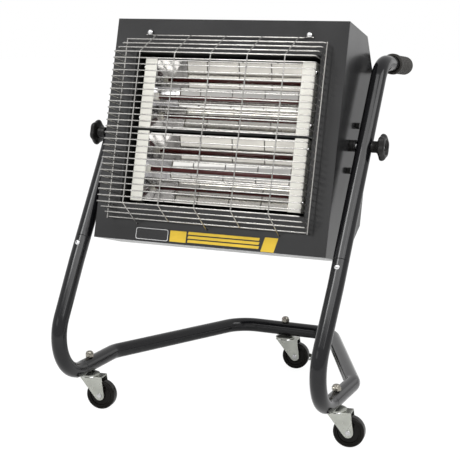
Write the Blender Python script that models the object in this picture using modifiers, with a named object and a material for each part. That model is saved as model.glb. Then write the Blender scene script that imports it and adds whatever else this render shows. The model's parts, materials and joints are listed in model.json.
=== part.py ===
"""Infrared cabinet heater on a tubular trolley.

Metres, +Z up, +X to the viewer's right when facing the guard, front towards -Y.
The origin lies on the floor, under the middle of the whole heater.
The head is modelled about its tilt axis: X across, Y back from the face, Z up the face.
"""

import math

import bmesh
import bpy
from mathutils import Vector

# Clearances
GAP = 0.0003
OVERRUN = 0.004
MERGE_DISTANCE = 0.00001

# Trolley tube
TUBE_DIAMETER = 0.0254
TUBE_WALL = 0.0015
SWAGE_DROP = 0.0022
SWAGE_TAPER = 0.001
SWAGE_SETBACK = 0.002
BASE_INSET = 0.0045
BASE_REAR_HALF_WIDTH = 0.0915
BASE_DEPTH = 0.2715
FRONT_BEND_RADIUS = 0.045
REAR_BEND_RADIUS = 0.056
CASTOR_SETBACK = 0.0246
SPIGOT_LENGTH = 0.052

# Uprights
PIVOT_HEIGHT = 0.458
PIVOT_AHEAD_OF_REAR = 0.2597
UPRIGHT_LEAN = math.radians(32.6)
UPRIGHT_FOOT_RADIUS = 0.0655
UPRIGHT_FOOT_STRAIGHT = 0.0039
UPRIGHT_TOP_RADIUS = 0.05
UPRIGHT_ABOVE_PIVOT = 0.151
GRIP_DROOP = math.radians(4.3)
HANDLE_LENGTH = 0.1375
JOINT_BELOW_PIVOT = 0.194
JOINT_SPIGOT_LENGTH = 0.034
JOINT_STRAIGHT_LENGTH = 0.042
JOINT_SCREW_SETBACK = 0.0145
JOINT_SCREW_DIAMETER = 0.005
JOINT_SCREW_HEAD_DIAMETER = 0.0085
JOINT_SCREW_HEAD_HEIGHT = 0.0022

# Grips
GRIP_LENGTH = 0.078
GRIP_DIAMETER = 0.031
GRIP_FLANGE_DIAMETER = 0.0345
GRIP_FLANGE_LENGTH = 0.009
GRIP_END_THICKNESS = 0.004
GRIP_END_ROUNDING = 0.003
GRIP_GROOVE_COUNT = 6
GRIP_GROOVE_DEPTH = 0.0009
GRIP_GROOVE_WIDTH = 0.003
GRIP_FIT = 0.0004

# Heater casing
FACE_SIDE_MARGIN = 0.0295
FACE_END_MARGIN = 0.0565
FACE_AHEAD = 0.065
BACK_BEHIND = 0.097
CHAMFER = 0.065
SHEET = 0.0012
HEAD_LEAN = math.radians(14.8)
OPENING_SIDE_MARGIN = 0.0112
OPENING_EDGE_MARGIN = 0.007
OPENING_RISE = 0.0022
SLOT_COLUMNS = 7
SLOT_ROWS = 2
SLOT_WIDTH = 0.03
SLOT_HEIGHT = 0.004
SLOT_PITCH = 0.042
SLOT_ROW_HEIGHT = 0.082
SLOT_ROW_PITCH = 0.012

# Lamp tray, reflectors and white end plates
TRAY_SHEET = 0.001
DIVIDER_HEIGHT = 0.0044
DIVIDER_DEPTH = 0.012
UNIT_SETBACK = 0.012
UNIT_HEIGHT = 0.1165
END_PLATE_WIDTH = 0.0218
END_PLATE_SHEET = 0.0012
END_SCREW_DIAMETER = 0.0062
END_SCREW_HEIGHT = 0.002
END_SCREW_SETBACK = 0.0045
END_SCREW_SPACING = 0.084
REFLECTOR_UPPER_SLOPE = math.radians(36.7)
REFLECTOR_LOWER_SLOPE = math.radians(39.9)
REFLECTOR_DEPTH = 0.052
REFLECTOR_RIDGE = 0.0022
REFLECTOR_TOP_SETBACK = 0.0035
REFLECTOR_SHEET = 0.0008

# Quartz lamps
LAMP_DIAMETER = 0.0075
LAMP_GLASS_LENGTH = 0.262
LAMP_SETBACK = 0.0376
LAMP_PINCH_LENGTH = 0.012
LAMP_PINCH_THICKNESS = 0.004
LAMP_CAP_LENGTH = 0.014
LAMP_CAP_HEIGHT = 0.012
LAMP_CAP_THICKNESS = 0.009
LAMP_CAP_BITE = 0.002
LAMP_END_ROOM = 0.0058
LAMP_HOLDER_WIDTH = 0.007
LAMP_HOLDER_HEIGHT = 0.01

# Wire guard
GUARD_WIRE = 0.002
GUARD_WELD_BITE = 0.0008
GUARD_BEND_RADIUS = 0.003
GUARD_SIDE_MARGIN = 0.011
GUARD_STANDOFF = 0.058
GUARD_ROWS = 25
GUARD_ROW_INSET = 0.0096
GUARD_RISE = -0.006
GUARD_SLOPE_ROWS = 3
GUARD_UPRIGHT_INSET = 0.048
GUARD_SIDE_RAIL_STANDOFF = 0.014
GUARD_SIDE_RAIL_END = 0.0025
GUARD_TOP_STANDOFF = 0.0078
GUARD_TOP_MARGIN = 0.0253
GUARD_TOP_SETBACK = 0.0085
GUARD_HOOK_RUN = 0.003
GUARD_HOOK_LENGTH = 0.0125
GUARD_HOOK_BEND_RADIUS = 0.0015
GUARD_FOOT_MARGIN = 0.0312
GUARD_FOOT_TURN = 0.003
GUARD_SCREW_INSET = 0.033
GUARD_SCREW_RISE = 0.0057
GUARD_SCREW_HEAD_DIAMETER = 0.0098
GUARD_SCREW_HEAD_HEIGHT = 0.0042
GUARD_SCREW_DIAMETER = 0.004
GUARD_SCREW_LENGTH = 0.009

# Tilt pivot
STUD_DIAMETER = 0.01
STUD_HEAD_DIAMETER = 0.02
STUD_HEAD_HEIGHT = 0.004
STUD_REACH = 0.019
HOLE_FIT = 0.0005
UPRIGHT_STANDOFF = 0.0103
SPACER_DIAMETER = 0.0187
BRACKET_LENGTH = 0.12
BRACKET_WIDTH = 0.056
BRACKET_SHEET = 0.003
BOLT_LEAN = math.radians(16.2)
BOLT_REACH = 0.039
BOLT_SETBACK = 0.0088
BOLT_DIAMETER = 0.006
BOLT_HEAD_ACROSS = 0.0105
BOLT_HEAD_HEIGHT = 0.0062
BOLT_NUT_HEIGHT = 0.005

# Clamp knobs
KNOB_DIAMETER = 0.043
KNOB_THICKNESS = 0.0105
KNOB_LOBE_COUNT = 6
KNOB_LOBE_STEPS = 5
KNOB_LOBE_DEPTH = 0.0024
KNOB_BACK_DIAMETER = 0.037
KNOB_SHOULDER_DIAMETER = 0.0375
KNOB_RIM_DIAMETER = 0.029
KNOB_BOSS_DIAMETER = 0.0185
KNOB_BOSS_LENGTH = 0.0122
KNOB_DISH_DIAMETER = 0.024
KNOB_DISH_DEPTH = 0.0025

# Castors
WHEEL_DIAMETER = 0.05
WHEEL_WIDTH = 0.0185
WHEEL_HUB_DIAMETER = 0.017
WHEEL_RECESS_DEPTH = 0.003
WHEEL_TYRE_DEPTH = 0.0075
WHEEL_ROUNDING = 0.003
CASTOR_TRAIL = 0.022
CASTOR_HEADING = math.radians(6.1)
FORK_SHEET = 0.002
FORK_SIDE_CLEARANCE = 0.0012
FORK_CROWN_CLEARANCE = 0.0052
FORK_TIP_RADIUS = 0.0083
FORK_FRONT_REACH = 0.0145
FORK_REAR_REACH = 0.0258
RACE_DIAMETER = 0.035
RACE_HEIGHT = 0.0045
RACE_RIM_HEIGHT = 0.0022
STEM_DIAMETER = 0.008
STEM_PROUD = 0.0065
STEM_RIVET_DIAMETER = 0.014
STEM_RIVET_HEIGHT = 0.0015
STEM_NUT_ACROSS = 0.0152
STEM_NUT_HEIGHT = 0.0062
STEM_NUT_DOME_HEIGHT = 0.004
AXLE_DIAMETER = 0.006
AXLE_HEAD_DIAMETER = 0.009
AXLE_HEAD_HEIGHT = 0.0022
LEVER_SHEET = 0.0016
LEVER_WIDTH = 0.011
LEVER_REACH = 0.0295
LEVER_PEDAL_LENGTH = 0.0045
LEVER_PEDAL_SPAN = 0.023
LEVER_EYE_RADIUS = 0.0065

# Switches, cable gland and terminals on the back
SWITCH_SPACING = 0.034
SWITCH_DROP = 0.062
SWITCH_FRAME_WIDTH = 0.015
SWITCH_FRAME_HEIGHT = 0.0215
SWITCH_RIM = 0.0015
SWITCH_BODY_DEPTH = 0.016
SWITCH_WALL = 0.0013
SWITCH_BEZEL_THICKNESS = 0.0015
ROCKER_TILT = math.radians(9.0)
ROCKER_CLEARANCE = 0.0006
ROCKER_PROUD = 0.0014
ROCKER_PIVOT_DEPTH = 0.00325
ROCKER_PIN_DIAMETER = 0.0024
ROCKER_PIN_REACH = 0.0007
GLAND_OFFSET = 0.078
GLAND_DIAMETER = 0.02
GLAND_NUT_DIAMETER = 0.026
GLAND_NUT_LENGTH = 0.016
GLAND_THREAD_LENGTH = 0.009
GLAND_BORE = 0.0088
LOCK_NUT_LENGTH = 0.005
TERMINAL_LENGTH = 0.058
TERMINAL_HEIGHT = 0.018
TERMINAL_DEPTH = 0.015
TERMINAL_RISE = 0.012
TERMINAL_POLES = 5
TERMINAL_WELL_DEPTH = 0.007
TERMINAL_WELL_DIAMETER = 0.006

# Finish of round shapes
BEND_STEPS = 5
WIRE_BEND_STEPS = 1
TUBE_BEVEL_STEPS = 6
BORE_BEVEL_STEPS = 4
WIRE_BEVEL_STEPS = 0
GRIP_SIDES = 16
ROUND_SIDES = 20
WHEEL_SIDES = 24
STEM_SIDES = 12
SMALL_SIDES = 12
HEX_SIDES = 6
SMOOTH_ANGLE = math.radians(40.0)

# Worked out from the driving dimensions
TUBE_RADIUS = TUBE_DIAMETER / 2
BORE_RADIUS = TUBE_RADIUS - TUBE_WALL
SWAGE_RADIUS = TUBE_RADIUS - SWAGE_DROP
SWAGE_BORE_RADIUS = SWAGE_RADIUS - TUBE_WALL
WHEEL_RADIUS = WHEEL_DIAMETER / 2
FORK_HALF_INSIDE = WHEEL_WIDTH / 2 + FORK_SIDE_CLEARANCE
FORK_HALF_WIDTH = FORK_HALF_INSIDE + FORK_SHEET
FORK_HEIGHT = WHEEL_DIAMETER + FORK_CROWN_CLEARANCE + FORK_SHEET
RACE_BOTTOM = FORK_HEIGHT + GAP
RACE_TOP = RACE_BOTTOM + RACE_HEIGHT
BASE_HEIGHT = RACE_TOP + GAP + TUBE_RADIUS
FACE_Y = -FACE_AHEAD
BACK_Y = BACK_BEHIND
UNIT_FRONT = FACE_Y + UNIT_SETBACK
REFLECTOR_BACK = UNIT_FRONT + REFLECTOR_DEPTH
UNIT_WIDTH = LAMP_GLASS_LENGTH + 2 * (LAMP_CAP_LENGTH - LAMP_CAP_BITE + LAMP_END_ROOM)
UNIT_PITCH = UNIT_HEIGHT + DIVIDER_HEIGHT + 2 * GAP
OPENING_WIDTH = UNIT_WIDTH + 2 * OPENING_SIDE_MARGIN
OPENING_HEIGHT = UNIT_PITCH + UNIT_HEIGHT + 2 * OPENING_EDGE_MARGIN
GUARD_HALF_WIDTH = OPENING_WIDTH / 2 + GUARD_SIDE_MARGIN
HALF_HEAD_WIDTH = GUARD_HALF_WIDTH + FACE_SIDE_MARGIN
HEAD_WIDTH = 2 * HALF_HEAD_WIDTH
HALF_HEAD_HEIGHT = OPENING_HEIGHT / 2 + FACE_END_MARGIN
HEAD_HEIGHT = 2 * HALF_HEAD_HEIGHT
UPRIGHT_X = HALF_HEAD_WIDTH + UPRIGHT_STANDOFF + TUBE_RADIUS
BASE_HALF_WIDTH = UPRIGHT_X - BASE_INSET
TRAY_WIDTH = OPENING_WIDTH - 2 * GAP
TRAY_HEIGHT = OPENING_HEIGHT - 2 * GAP
TRAY_DEPTH = REFLECTOR_BACK + GAP + TRAY_SHEET - FACE_Y
GUARD_FRONT = FACE_Y - GUARD_STANDOFF
GUARD_PITCH = (OPENING_HEIGHT - GUARD_ROW_INSET) / (GUARD_ROWS - 1)
GUARD_TOP_ROW = GUARD_RISE + (GUARD_ROWS - 1) / 2 * GUARD_PITCH
GUARD_LOW_ROW = GUARD_RISE - (GUARD_ROWS - 1) / 2 * GUARD_PITCH
GUARD_TOP_HEIGHT = OPENING_RISE + OPENING_HEIGHT / 2 + GUARD_TOP_MARGIN
GUARD_FOOT_HEIGHT = OPENING_HEIGHT / 2 - OPENING_RISE + GUARD_FOOT_MARGIN
GUARD_SCREW_HEIGHT = GUARD_TOP_HEIGHT + GUARD_SCREW_RISE
GUARD_WELD_OFFSET = GUARD_WIRE - GUARD_WELD_BITE
GUARD_UPRIGHT_PITCH = (GUARD_HALF_WIDTH - GUARD_UPRIGHT_INSET) / 2
GUARD_SCREW_HALF_SPACING = GUARD_HALF_WIDTH - GUARD_SCREW_INSET
GUARD_TOP_HALF_LENGTH = GUARD_SCREW_HALF_SPACING - GUARD_TOP_SETBACK
KNOB_SEAT = UPRIGHT_X + TUBE_RADIUS + GAP

# Distances along Y are set out from the tilt axis, which then stands this far from the origin
REAR_TUBE_Y = PIVOT_AHEAD_OF_REAR
BASE_BEND_Y = REAR_TUBE_Y - BASE_DEPTH
UPRIGHT_DROP = PIVOT_HEIGHT - BASE_HEIGHT
UPRIGHT_FOOT_Y = -UPRIGHT_DROP * math.tan(UPRIGHT_LEAN)
FOOT_TANGENT = UPRIGHT_FOOT_RADIUS * math.tan((math.pi / 2 + UPRIGHT_LEAN) / 2)
STUB_END_Y = UPRIGHT_FOOT_Y + FOOT_TANGENT + UPRIGHT_FOOT_STRAIGHT
FRONT_CASTOR_Y = STUB_END_Y + CASTOR_SETBACK
FRONT_MOST_Y = UPRIGHT_FOOT_Y + FOOT_TANGENT - UPRIGHT_FOOT_RADIUS - TUBE_RADIUS
REAR_MOST_Y = REAR_TUBE_Y + FORK_HALF_WIDTH + LEVER_SHEET + AXLE_HEAD_HEIGHT
PIVOT_Y = -(FRONT_MOST_Y + REAR_MOST_Y) / 2

# Turns that stand a flat outline up, or lay a turned shape on its side
TURN_TO_FACE = (math.pi / 2, 0, 0)
TURN_TO_BACK = (-math.pi / 2, 0, 0)
TURN_TO_SIDE = (math.pi / 2, 0, math.pi / 2)
TURN_TO_RIGHT = (0, math.pi / 2, 0)


def clear_scene():
    """Start from an empty file."""
    for item in list(bpy.data.objects):
        bpy.data.objects.remove(item, do_unlink=True)


def make_collection(name):
    """A collection linked into the scene."""
    collection = bpy.data.collections.new(name)
    bpy.context.scene.collection.children.link(collection)
    return collection


clear_scene()
PARTS = make_collection("infrared_heater")
CUTTERS = make_collection("cutters")


def make_material(name, colour, roughness, metallic):
    """A Principled BSDF material."""
    material = bpy.data.materials.new(name)
    material.use_nodes = True
    shader = material.node_tree.nodes["Principled BSDF"]
    shader.inputs["Base Color"].default_value = (*colour, 1)
    shader.inputs["Roughness"].default_value = roughness
    shader.inputs["Metallic"].default_value = metallic
    material.diffuse_color = (*colour, 1)
    return material


BLACK_COAT = make_material("black_powder_coat", (0.035, 0.036, 0.038), 0.32, 0.0)
TUBE_COAT = make_material("grey_tube_coat", (0.045, 0.046, 0.05), 0.28, 0.2)
TRAY_BLACK = make_material("matt_black", (0.012, 0.012, 0.012), 0.6, 0.0)
WHITE_PLATE = make_material("white_end_plate", (0.8, 0.79, 0.74), 0.45, 0.0)
POLISHED = make_material("polished_aluminium", (0.86, 0.86, 0.85), 0.12, 1.0)
RUBY_GLASS = make_material("ruby_quartz", (0.16, 0.012, 0.015), 0.08, 0.0)
CERAMIC = make_material("ceramic", (0.78, 0.76, 0.7), 0.6, 0.0)
CHROME_WIRE = make_material("chrome_wire", (0.62, 0.6, 0.58), 0.25, 1.0)
ZINC = make_material("zinc_plate", (0.6, 0.6, 0.57), 0.35, 1.0)
YELLOW_ZINC = make_material("yellow_zinc", (0.5, 0.42, 0.28), 0.35, 1.0)
BRIGHT_SCREW = make_material("bright_screw", (0.85, 0.85, 0.85), 0.2, 1.0)
BLACK_PLASTIC = make_material("black_plastic", (0.012, 0.012, 0.013), 0.4, 0.0)
GRIP_RUBBER = make_material("grip_rubber", (0.055, 0.05, 0.047), 0.65, 0.0)
WHEEL_BLACK = make_material("wheel_plastic", (0.01, 0.01, 0.009), 0.38, 0.0)
STEEL = make_material("plain_steel", (0.45, 0.45, 0.45), 0.4, 1.0)


def make_empty(name, location, rotation, parent):
    """A frame that pieces hang from."""
    empty = bpy.data.objects.new(name, None)
    empty.location = location
    empty.rotation_euler = rotation
    empty.parent = parent
    PARTS.objects.link(empty)
    return empty


TROLLEY = make_empty("trolley_frame", (0, PIVOT_Y, 0), (0, 0, 0), None)
HEAD = make_empty("tilt_axis", (0, 0, PIVOT_HEIGHT), (-HEAD_LEAN, 0, 0), TROLLEY)


def place(item, parent, location=(0, 0, 0), rotation=(0, 0, 0)):
    """Set an object under its frame."""
    item.parent = parent
    item.location = location
    item.rotation_euler = rotation
    return item


def set_finish(item, material):
    """Give a mesh object its material and smooth round faces."""
    item.data.materials.clear()
    item.data.materials.append(material)
    item.data.shade_smooth()
    item.data.set_sharp_from_angle(angle=SMOOTH_ANGLE)
    return item


def evaluated_mesh(item):
    """A mesh of the object as its modifiers leave it."""
    bpy.context.view_layer.update()
    depsgraph = bpy.context.evaluated_depsgraph_get()
    return bpy.data.meshes.new_from_object(item.evaluated_get(depsgraph))


def weld(mesh):
    """Close the seams and caps of a mesh and turn its faces out."""
    shape = bmesh.new()
    shape.from_mesh(mesh)
    bmesh.ops.remove_doubles(shape, verts=shape.verts, dist=MERGE_DISTANCE)
    bmesh.ops.recalc_face_normals(shape, faces=shape.faces)
    shape.to_mesh(mesh)
    shape.free()


def curve_to_mesh(curve_item):
    """Turn a curve object into a closed mesh object of the same name."""
    name = curve_item.name
    mesh = evaluated_mesh(curve_item)
    weld(mesh)
    matrix = curve_item.matrix_world.copy()
    bpy.data.objects.remove(curve_item, do_unlink=True)
    item = bpy.data.objects.new(name, mesh)
    item.matrix_world = matrix
    PARTS.objects.link(item)
    return item


def turned(name, profile, sides, material):
    """A shape turned about Z from (radius, height) points, down its outer side first."""
    mesh = bpy.data.meshes.new(name)
    points = [(radius, 0, height) for radius, height in profile]
    edges = [(index, index + 1) for index in range(len(points) - 1)]
    if min(profile[0][0], profile[-1][0]) > 0:
        edges.append((len(points) - 1, 0))
    mesh.from_pydata(points, edges, [])
    item = bpy.data.objects.new(name, mesh)
    PARTS.objects.link(item)
    screw = item.modifiers.new("turn", "SCREW")
    screw.steps = sides
    screw.render_steps = sides
    screw.use_merge_vertices = True
    screw.merge_threshold = MERGE_DISTANCE
    solid = evaluated_mesh(item)
    weld(solid)
    item.modifiers.clear()
    item.data = solid
    return set_finish(item, material)


def plate(name, outlines, thickness, material):
    """A flat sheet in XY from closed outlines, the first one outside, the rest holes."""
    curve = bpy.data.curves.new(name, "CURVE")
    curve.dimensions = "2D"
    curve.fill_mode = "BOTH"
    curve.extrude = thickness / 2
    for outline in outlines:
        spline = curve.splines.new("POLY")
        spline.points.add(len(outline) - 1)
        for point, (across, along) in zip(spline.points, outline):
            point.co = (across, along, 0, 1)
        spline.use_cyclic_u = True
    item = bpy.data.objects.new(name, curve)
    PARTS.objects.link(item)
    return set_finish(curve_to_mesh(item), material)


def rod(name, stations, bevel_steps, material):
    """A round bar with filled ends along stations of (point, radius)."""
    depth = max(radius for point, radius in stations)
    curve = bpy.data.curves.new(name, "CURVE")
    curve.dimensions = "3D"
    curve.bevel_depth = depth
    curve.bevel_resolution = bevel_steps
    curve.use_fill_caps = True
    spline = curve.splines.new("POLY")
    spline.points.add(len(stations) - 1)
    for control, (point, radius) in zip(spline.points, stations):
        control.co = (*point, 1)
        control.radius = radius / depth
    item = bpy.data.objects.new(name, curve)
    PARTS.objects.link(item)
    return set_finish(curve_to_mesh(item), material)


def block(name, size, centre, material):
    """A rectangular block."""
    mesh = bpy.data.meshes.new(name)
    shape = bmesh.new()
    bmesh.ops.create_cube(shape, size=1)
    bmesh.ops.scale(shape, vec=size, verts=shape.verts)
    bmesh.ops.translate(shape, vec=centre, verts=shape.verts)
    shape.to_mesh(mesh)
    shape.free()
    item = bpy.data.objects.new(name, mesh)
    PARTS.objects.link(item)
    return set_finish(item, material)


def bar(name, radius, length, centre, axis, sides):
    """A straight round bar about an axis, for holes and pins."""
    mesh = bpy.data.meshes.new(name)
    shape = bmesh.new()
    bmesh.ops.create_cone(shape, cap_ends=True, segments=sides, radius1=radius,
                          radius2=radius, depth=length)
    turn = Vector((0, 0, 1)).rotation_difference(Vector(axis)).to_matrix()
    bmesh.ops.rotate(shape, cent=(0, 0, 0), matrix=turn, verts=shape.verts)
    bmesh.ops.translate(shape, vec=centre, verts=shape.verts)
    shape.to_mesh(mesh)
    shape.free()
    item = bpy.data.objects.new(name, mesh)
    PARTS.objects.link(item)
    return set_finish(item, BLACK_PLASTIC)


def use_tools(item, tools, operation):
    """Add one Boolean step for each tool shape, which stands in the same frame as the piece."""
    for tool in tools:
        tool.parent = item.parent
        PARTS.objects.unlink(tool)
        CUTTERS.objects.link(tool)
        tool.hide_render = True
        tool.display_type = "WIRE"
        step = item.modifiers.new(tool.name, "BOOLEAN")
        step.operation = operation
        step.object = tool
        step.solver = "EXACT"
    return item


def cut(item, *tools):
    """Cut each tool out of the piece."""
    return use_tools(item, tools, "DIFFERENCE")


def join(item, *tools):
    """Fuse each tool to the piece."""
    return use_tools(item, tools, "UNION")


def gather(name, items):
    """Several loose shapes as one tool."""
    shape = bmesh.new()
    for item in items:
        mesh = evaluated_mesh(item)
        mesh.transform(item.matrix_local)
        shape.from_mesh(mesh)
    material = items[0].data.materials[0]
    mesh = bpy.data.meshes.new(name)
    shape.to_mesh(mesh)
    shape.free()
    for item in items:
        bpy.data.objects.remove(item, do_unlink=True)
    gathered = bpy.data.objects.new(name, mesh)
    PARTS.objects.link(gathered)
    return set_finish(gathered, material)


def bend_points(corner, before, after, radius, steps):
    """Points of the arc that rounds a corner between two directions."""
    turn = before.angle(after)
    start = corner - before * radius * math.tan(turn / 2)
    inward = (after - before * before.dot(after)).normalized()
    centre = start + inward * radius
    points = []
    for step in range(steps + 1):
        angle = turn * step / steps
        points.append(centre + radius * (before * math.sin(angle) - inward * math.cos(angle)))
    return points


def bent_path(corners, radii, steps):
    """A path through corners, each inner corner rounded to its radius."""
    path = [corners[0]]
    for index, radius in enumerate(radii):
        corner = corners[index + 1]
        before = (corner - corners[index]).normalized()
        after = (corners[index + 2] - corner).normalized()
        path += bend_points(corner, before, after, radius, steps)
    path.append(corners[-1])
    return path


def hollow_tube(name, path, swaged_length):
    """An open tube whose last stretch, where it has one, is swaged down to a spigot."""
    away = (path[-1] - path[-2]).normalized()
    first = path[0] + (path[0] - path[1]).normalized() * OVERRUN
    beyond = path[-1] + away * OVERRUN
    outside = [(point, TUBE_RADIUS) for point in path[:-1]]
    bore = [(first, BORE_RADIUS)] + [(point, BORE_RADIUS) for point in path[1:-1]]
    if swaged_length > 0:
        neck = path[-1] - away * swaged_length
        shoulder = neck - away * SWAGE_TAPER
        inner_shoulder = shoulder - away * SWAGE_SETBACK
        inner_neck = inner_shoulder + away * SWAGE_TAPER
        outside += [(shoulder, TUBE_RADIUS), (neck, SWAGE_RADIUS), (path[-1], SWAGE_RADIUS)]
        bore += [(inner_shoulder, BORE_RADIUS), (inner_neck, SWAGE_BORE_RADIUS),
                 (beyond, SWAGE_BORE_RADIUS)]
    else:
        outside.append((path[-1], TUBE_RADIUS))
        bore.append((beyond, BORE_RADIUS))
    tube = place(rod(name, outside, TUBE_BEVEL_STEPS, TUBE_COAT), TROLLEY)
    return cut(tube, rod(name + "_bore", bore, BORE_BEVEL_STEPS, TUBE_COAT))


def circle(radius, centre, sides):
    """A closed round outline."""
    across, along = centre
    outline = []
    for index in range(sides):
        angle = math.tau * index / sides
        outline.append((across + radius * math.cos(angle), along + radius * math.sin(angle)))
    return outline


def rectangle(width, height, centre=(0, 0)):
    """A closed rectangular outline."""
    across, along = centre
    left, right = across - width / 2, across + width / 2
    low, high = along - height / 2, along + height / 2
    return [(left, low), (right, low), (right, high), (left, high)]


# Trolley


def stem_hole(name, across, along):
    """The upright hole that a castor stem passes through."""
    return bar(name, STEM_DIAMETER / 2 + HOLE_FIT, TUBE_DIAMETER + 2 * OVERRUN,
               (across, along, BASE_HEIGHT), (0, 0, 1), SMALL_SIDES)


def make_base_tube():
    """One bent tube: two front stubs, two slanting bars and the short rear bar."""
    corners = [Vector((-BASE_HALF_WIDTH, STUB_END_Y, BASE_HEIGHT)),
               Vector((-BASE_HALF_WIDTH, BASE_BEND_Y, BASE_HEIGHT)),
               Vector((-BASE_REAR_HALF_WIDTH, REAR_TUBE_Y, BASE_HEIGHT)),
               Vector((BASE_REAR_HALF_WIDTH, REAR_TUBE_Y, BASE_HEIGHT)),
               Vector((BASE_HALF_WIDTH, BASE_BEND_Y, BASE_HEIGHT)),
               Vector((BASE_HALF_WIDTH, STUB_END_Y, BASE_HEIGHT))]
    radii = [FRONT_BEND_RADIUS, REAR_BEND_RADIUS, REAR_BEND_RADIUS, FRONT_BEND_RADIUS]
    tube = hollow_tube("base_tube", bent_path(corners, radii, BEND_STEPS), 0)
    cut(tube, stem_hole("left_stem_hole", -BASE_HALF_WIDTH, FRONT_CASTOR_Y),
        stem_hole("right_stem_hole", BASE_HALF_WIDTH, FRONT_CASTOR_Y),
        stem_hole("rear_stem_hole", 0, REAR_TUBE_Y))


def along_upright(distance, across=0):
    """A point on an upright's centre line, measured down from the tilt axis."""
    return Vector((across, -distance * math.sin(UPRIGHT_LEAN),
                   PIVOT_HEIGHT - distance * math.cos(UPRIGHT_LEAN)))


def joint_screw_place(across):
    """Where a joint screw meets the tube, and the way it faces: forward, square to the tube."""
    outward = Vector((0, -math.cos(UPRIGHT_LEAN), math.sin(UPRIGHT_LEAN)))
    spot = along_upright(JOINT_BELOW_PIVOT + JOINT_SCREW_SETBACK, across)
    return spot + outward * TUBE_RADIUS, outward


def joint_screw_hole(name, across):
    """The hole through the front wall of a sleeve joint."""
    spot, outward = joint_screw_place(across)
    return bar(name, JOINT_SCREW_DIAMETER / 2 + GAP, TUBE_RADIUS, spot, outward, SMALL_SIDES)


def make_lower_upright(side, sign):
    """From the sleeve joint down, round the foot bend and back into the base stub."""
    across = sign * UPRIGHT_X
    straight_end = along_upright(JOINT_BELOW_PIVOT + JOINT_STRAIGHT_LENGTH, across)
    foot = Vector((across, UPRIGHT_FOOT_Y, BASE_HEIGHT))
    end = Vector((across, STUB_END_Y + SPIGOT_LENGTH, BASE_HEIGHT))
    path = bent_path([straight_end, foot, end], [UPRIGHT_FOOT_RADIUS], BEND_STEPS)
    drift = sign * BASE_HALF_WIDTH - across
    fall = straight_end.z - BASE_HEIGHT
    for point in path:
        point.x += drift * (straight_end.z - point.z) / fall
    name = "lower_upright_" + side
    path.insert(0, along_upright(JOINT_BELOW_PIVOT + GAP, across))
    tube = hollow_tube(name, path, SPIGOT_LENGTH + GAP)
    cut(tube, stem_hole(name + "_stem_hole", sign * BASE_HALF_WIDTH, FRONT_CASTOR_Y),
        joint_screw_hole(name + "_screw_hole", across))


def make_upper_upright(side, sign):
    """From the grip forward, round the top bend and down into the sleeve joint."""
    across = sign * UPRIGHT_X
    top = along_upright(-UPRIGHT_ABOVE_PIVOT, across)
    back = Vector((0, math.cos(GRIP_DROOP), -math.sin(GRIP_DROOP)))
    end = along_upright(JOINT_BELOW_PIVOT + JOINT_SPIGOT_LENGTH, across)
    path = bent_path([top + back * HANDLE_LENGTH, top, end], [UPRIGHT_TOP_RADIUS], BEND_STEPS)
    name = "upper_upright_" + side
    tube = hollow_tube(name, path, JOINT_SPIGOT_LENGTH)
    stud_hole = bar(name + "_stud_hole", STUD_DIAMETER / 2 + HOLE_FIT,
                    TUBE_DIAMETER + 2 * OVERRUN, (across, 0, PIVOT_HEIGHT), (1, 0, 0), SMALL_SIDES)
    cut(tube, stud_hole, joint_screw_hole(name + "_screw_hole", across))


def make_joint_screw(side, sign):
    """A domed screw through a sleeve joint."""
    shank = JOINT_SCREW_DIAMETER / 2
    head = JOINT_SCREW_HEAD_DIAMETER / 2
    crown = GAP + JOINT_SCREW_HEAD_HEIGHT
    tip = SWAGE_BORE_RADIUS - TUBE_RADIUS
    crown_share = 0.6
    profile = [(0, crown), (head * crown_share, crown), (head, crown - JOINT_SCREW_HEAD_HEIGHT / 2),
               (head, GAP), (shank, GAP), (shank, tip), (0, tip)]
    screw = turned("joint_screw_" + side, profile, SMALL_SIDES, BRIGHT_SCREW)
    place(screw, TROLLEY, joint_screw_place(sign * UPRIGHT_X)[0],
          (math.pi / 2 - UPRIGHT_LEAN, 0, 0))


def make_grip(side, sign):
    """A grooved rubber sleeve with a flange, closed at its rear end."""
    outer = GRIP_DIAMETER / 2
    flange = GRIP_FLANGE_DIAMETER / 2
    bore = TUBE_RADIUS + GRIP_FIT
    flange_start = GRIP_FLANGE_LENGTH - GRIP_LENGTH
    pitch = -flange_start / (GRIP_GROOVE_COUNT + 1)
    profile = [(0, 0), (outer - GRIP_END_ROUNDING, 0), (outer, -GRIP_END_ROUNDING)]
    for index in range(GRIP_GROOVE_COUNT):
        groove = -pitch * (index + 1)
        profile += [(outer, groove + GRIP_GROOVE_WIDTH / 2), (outer - GRIP_GROOVE_DEPTH, groove),
                    (outer, groove - GRIP_GROOVE_WIDTH / 2)]
    profile += [(outer, flange_start), (flange, flange_start), (flange, -GRIP_LENGTH),
                (bore, -GRIP_LENGTH), (bore, -GRIP_END_THICKNESS), (0, -GRIP_END_THICKNESS)]
    grip = turned("grip_" + side, profile, GRIP_SIDES, GRIP_RUBBER)
    spot = along_upright(-UPRIGHT_ABOVE_PIVOT, sign * UPRIGHT_X)
    reach = HANDLE_LENGTH + GAP + GRIP_END_THICKNESS
    spot += Vector((0, math.cos(GRIP_DROOP), -math.sin(GRIP_DROOP))) * reach
    place(grip, TROLLEY, spot, (-math.pi / 2 - GRIP_DROOP, 0, 0))


# Castors


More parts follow.
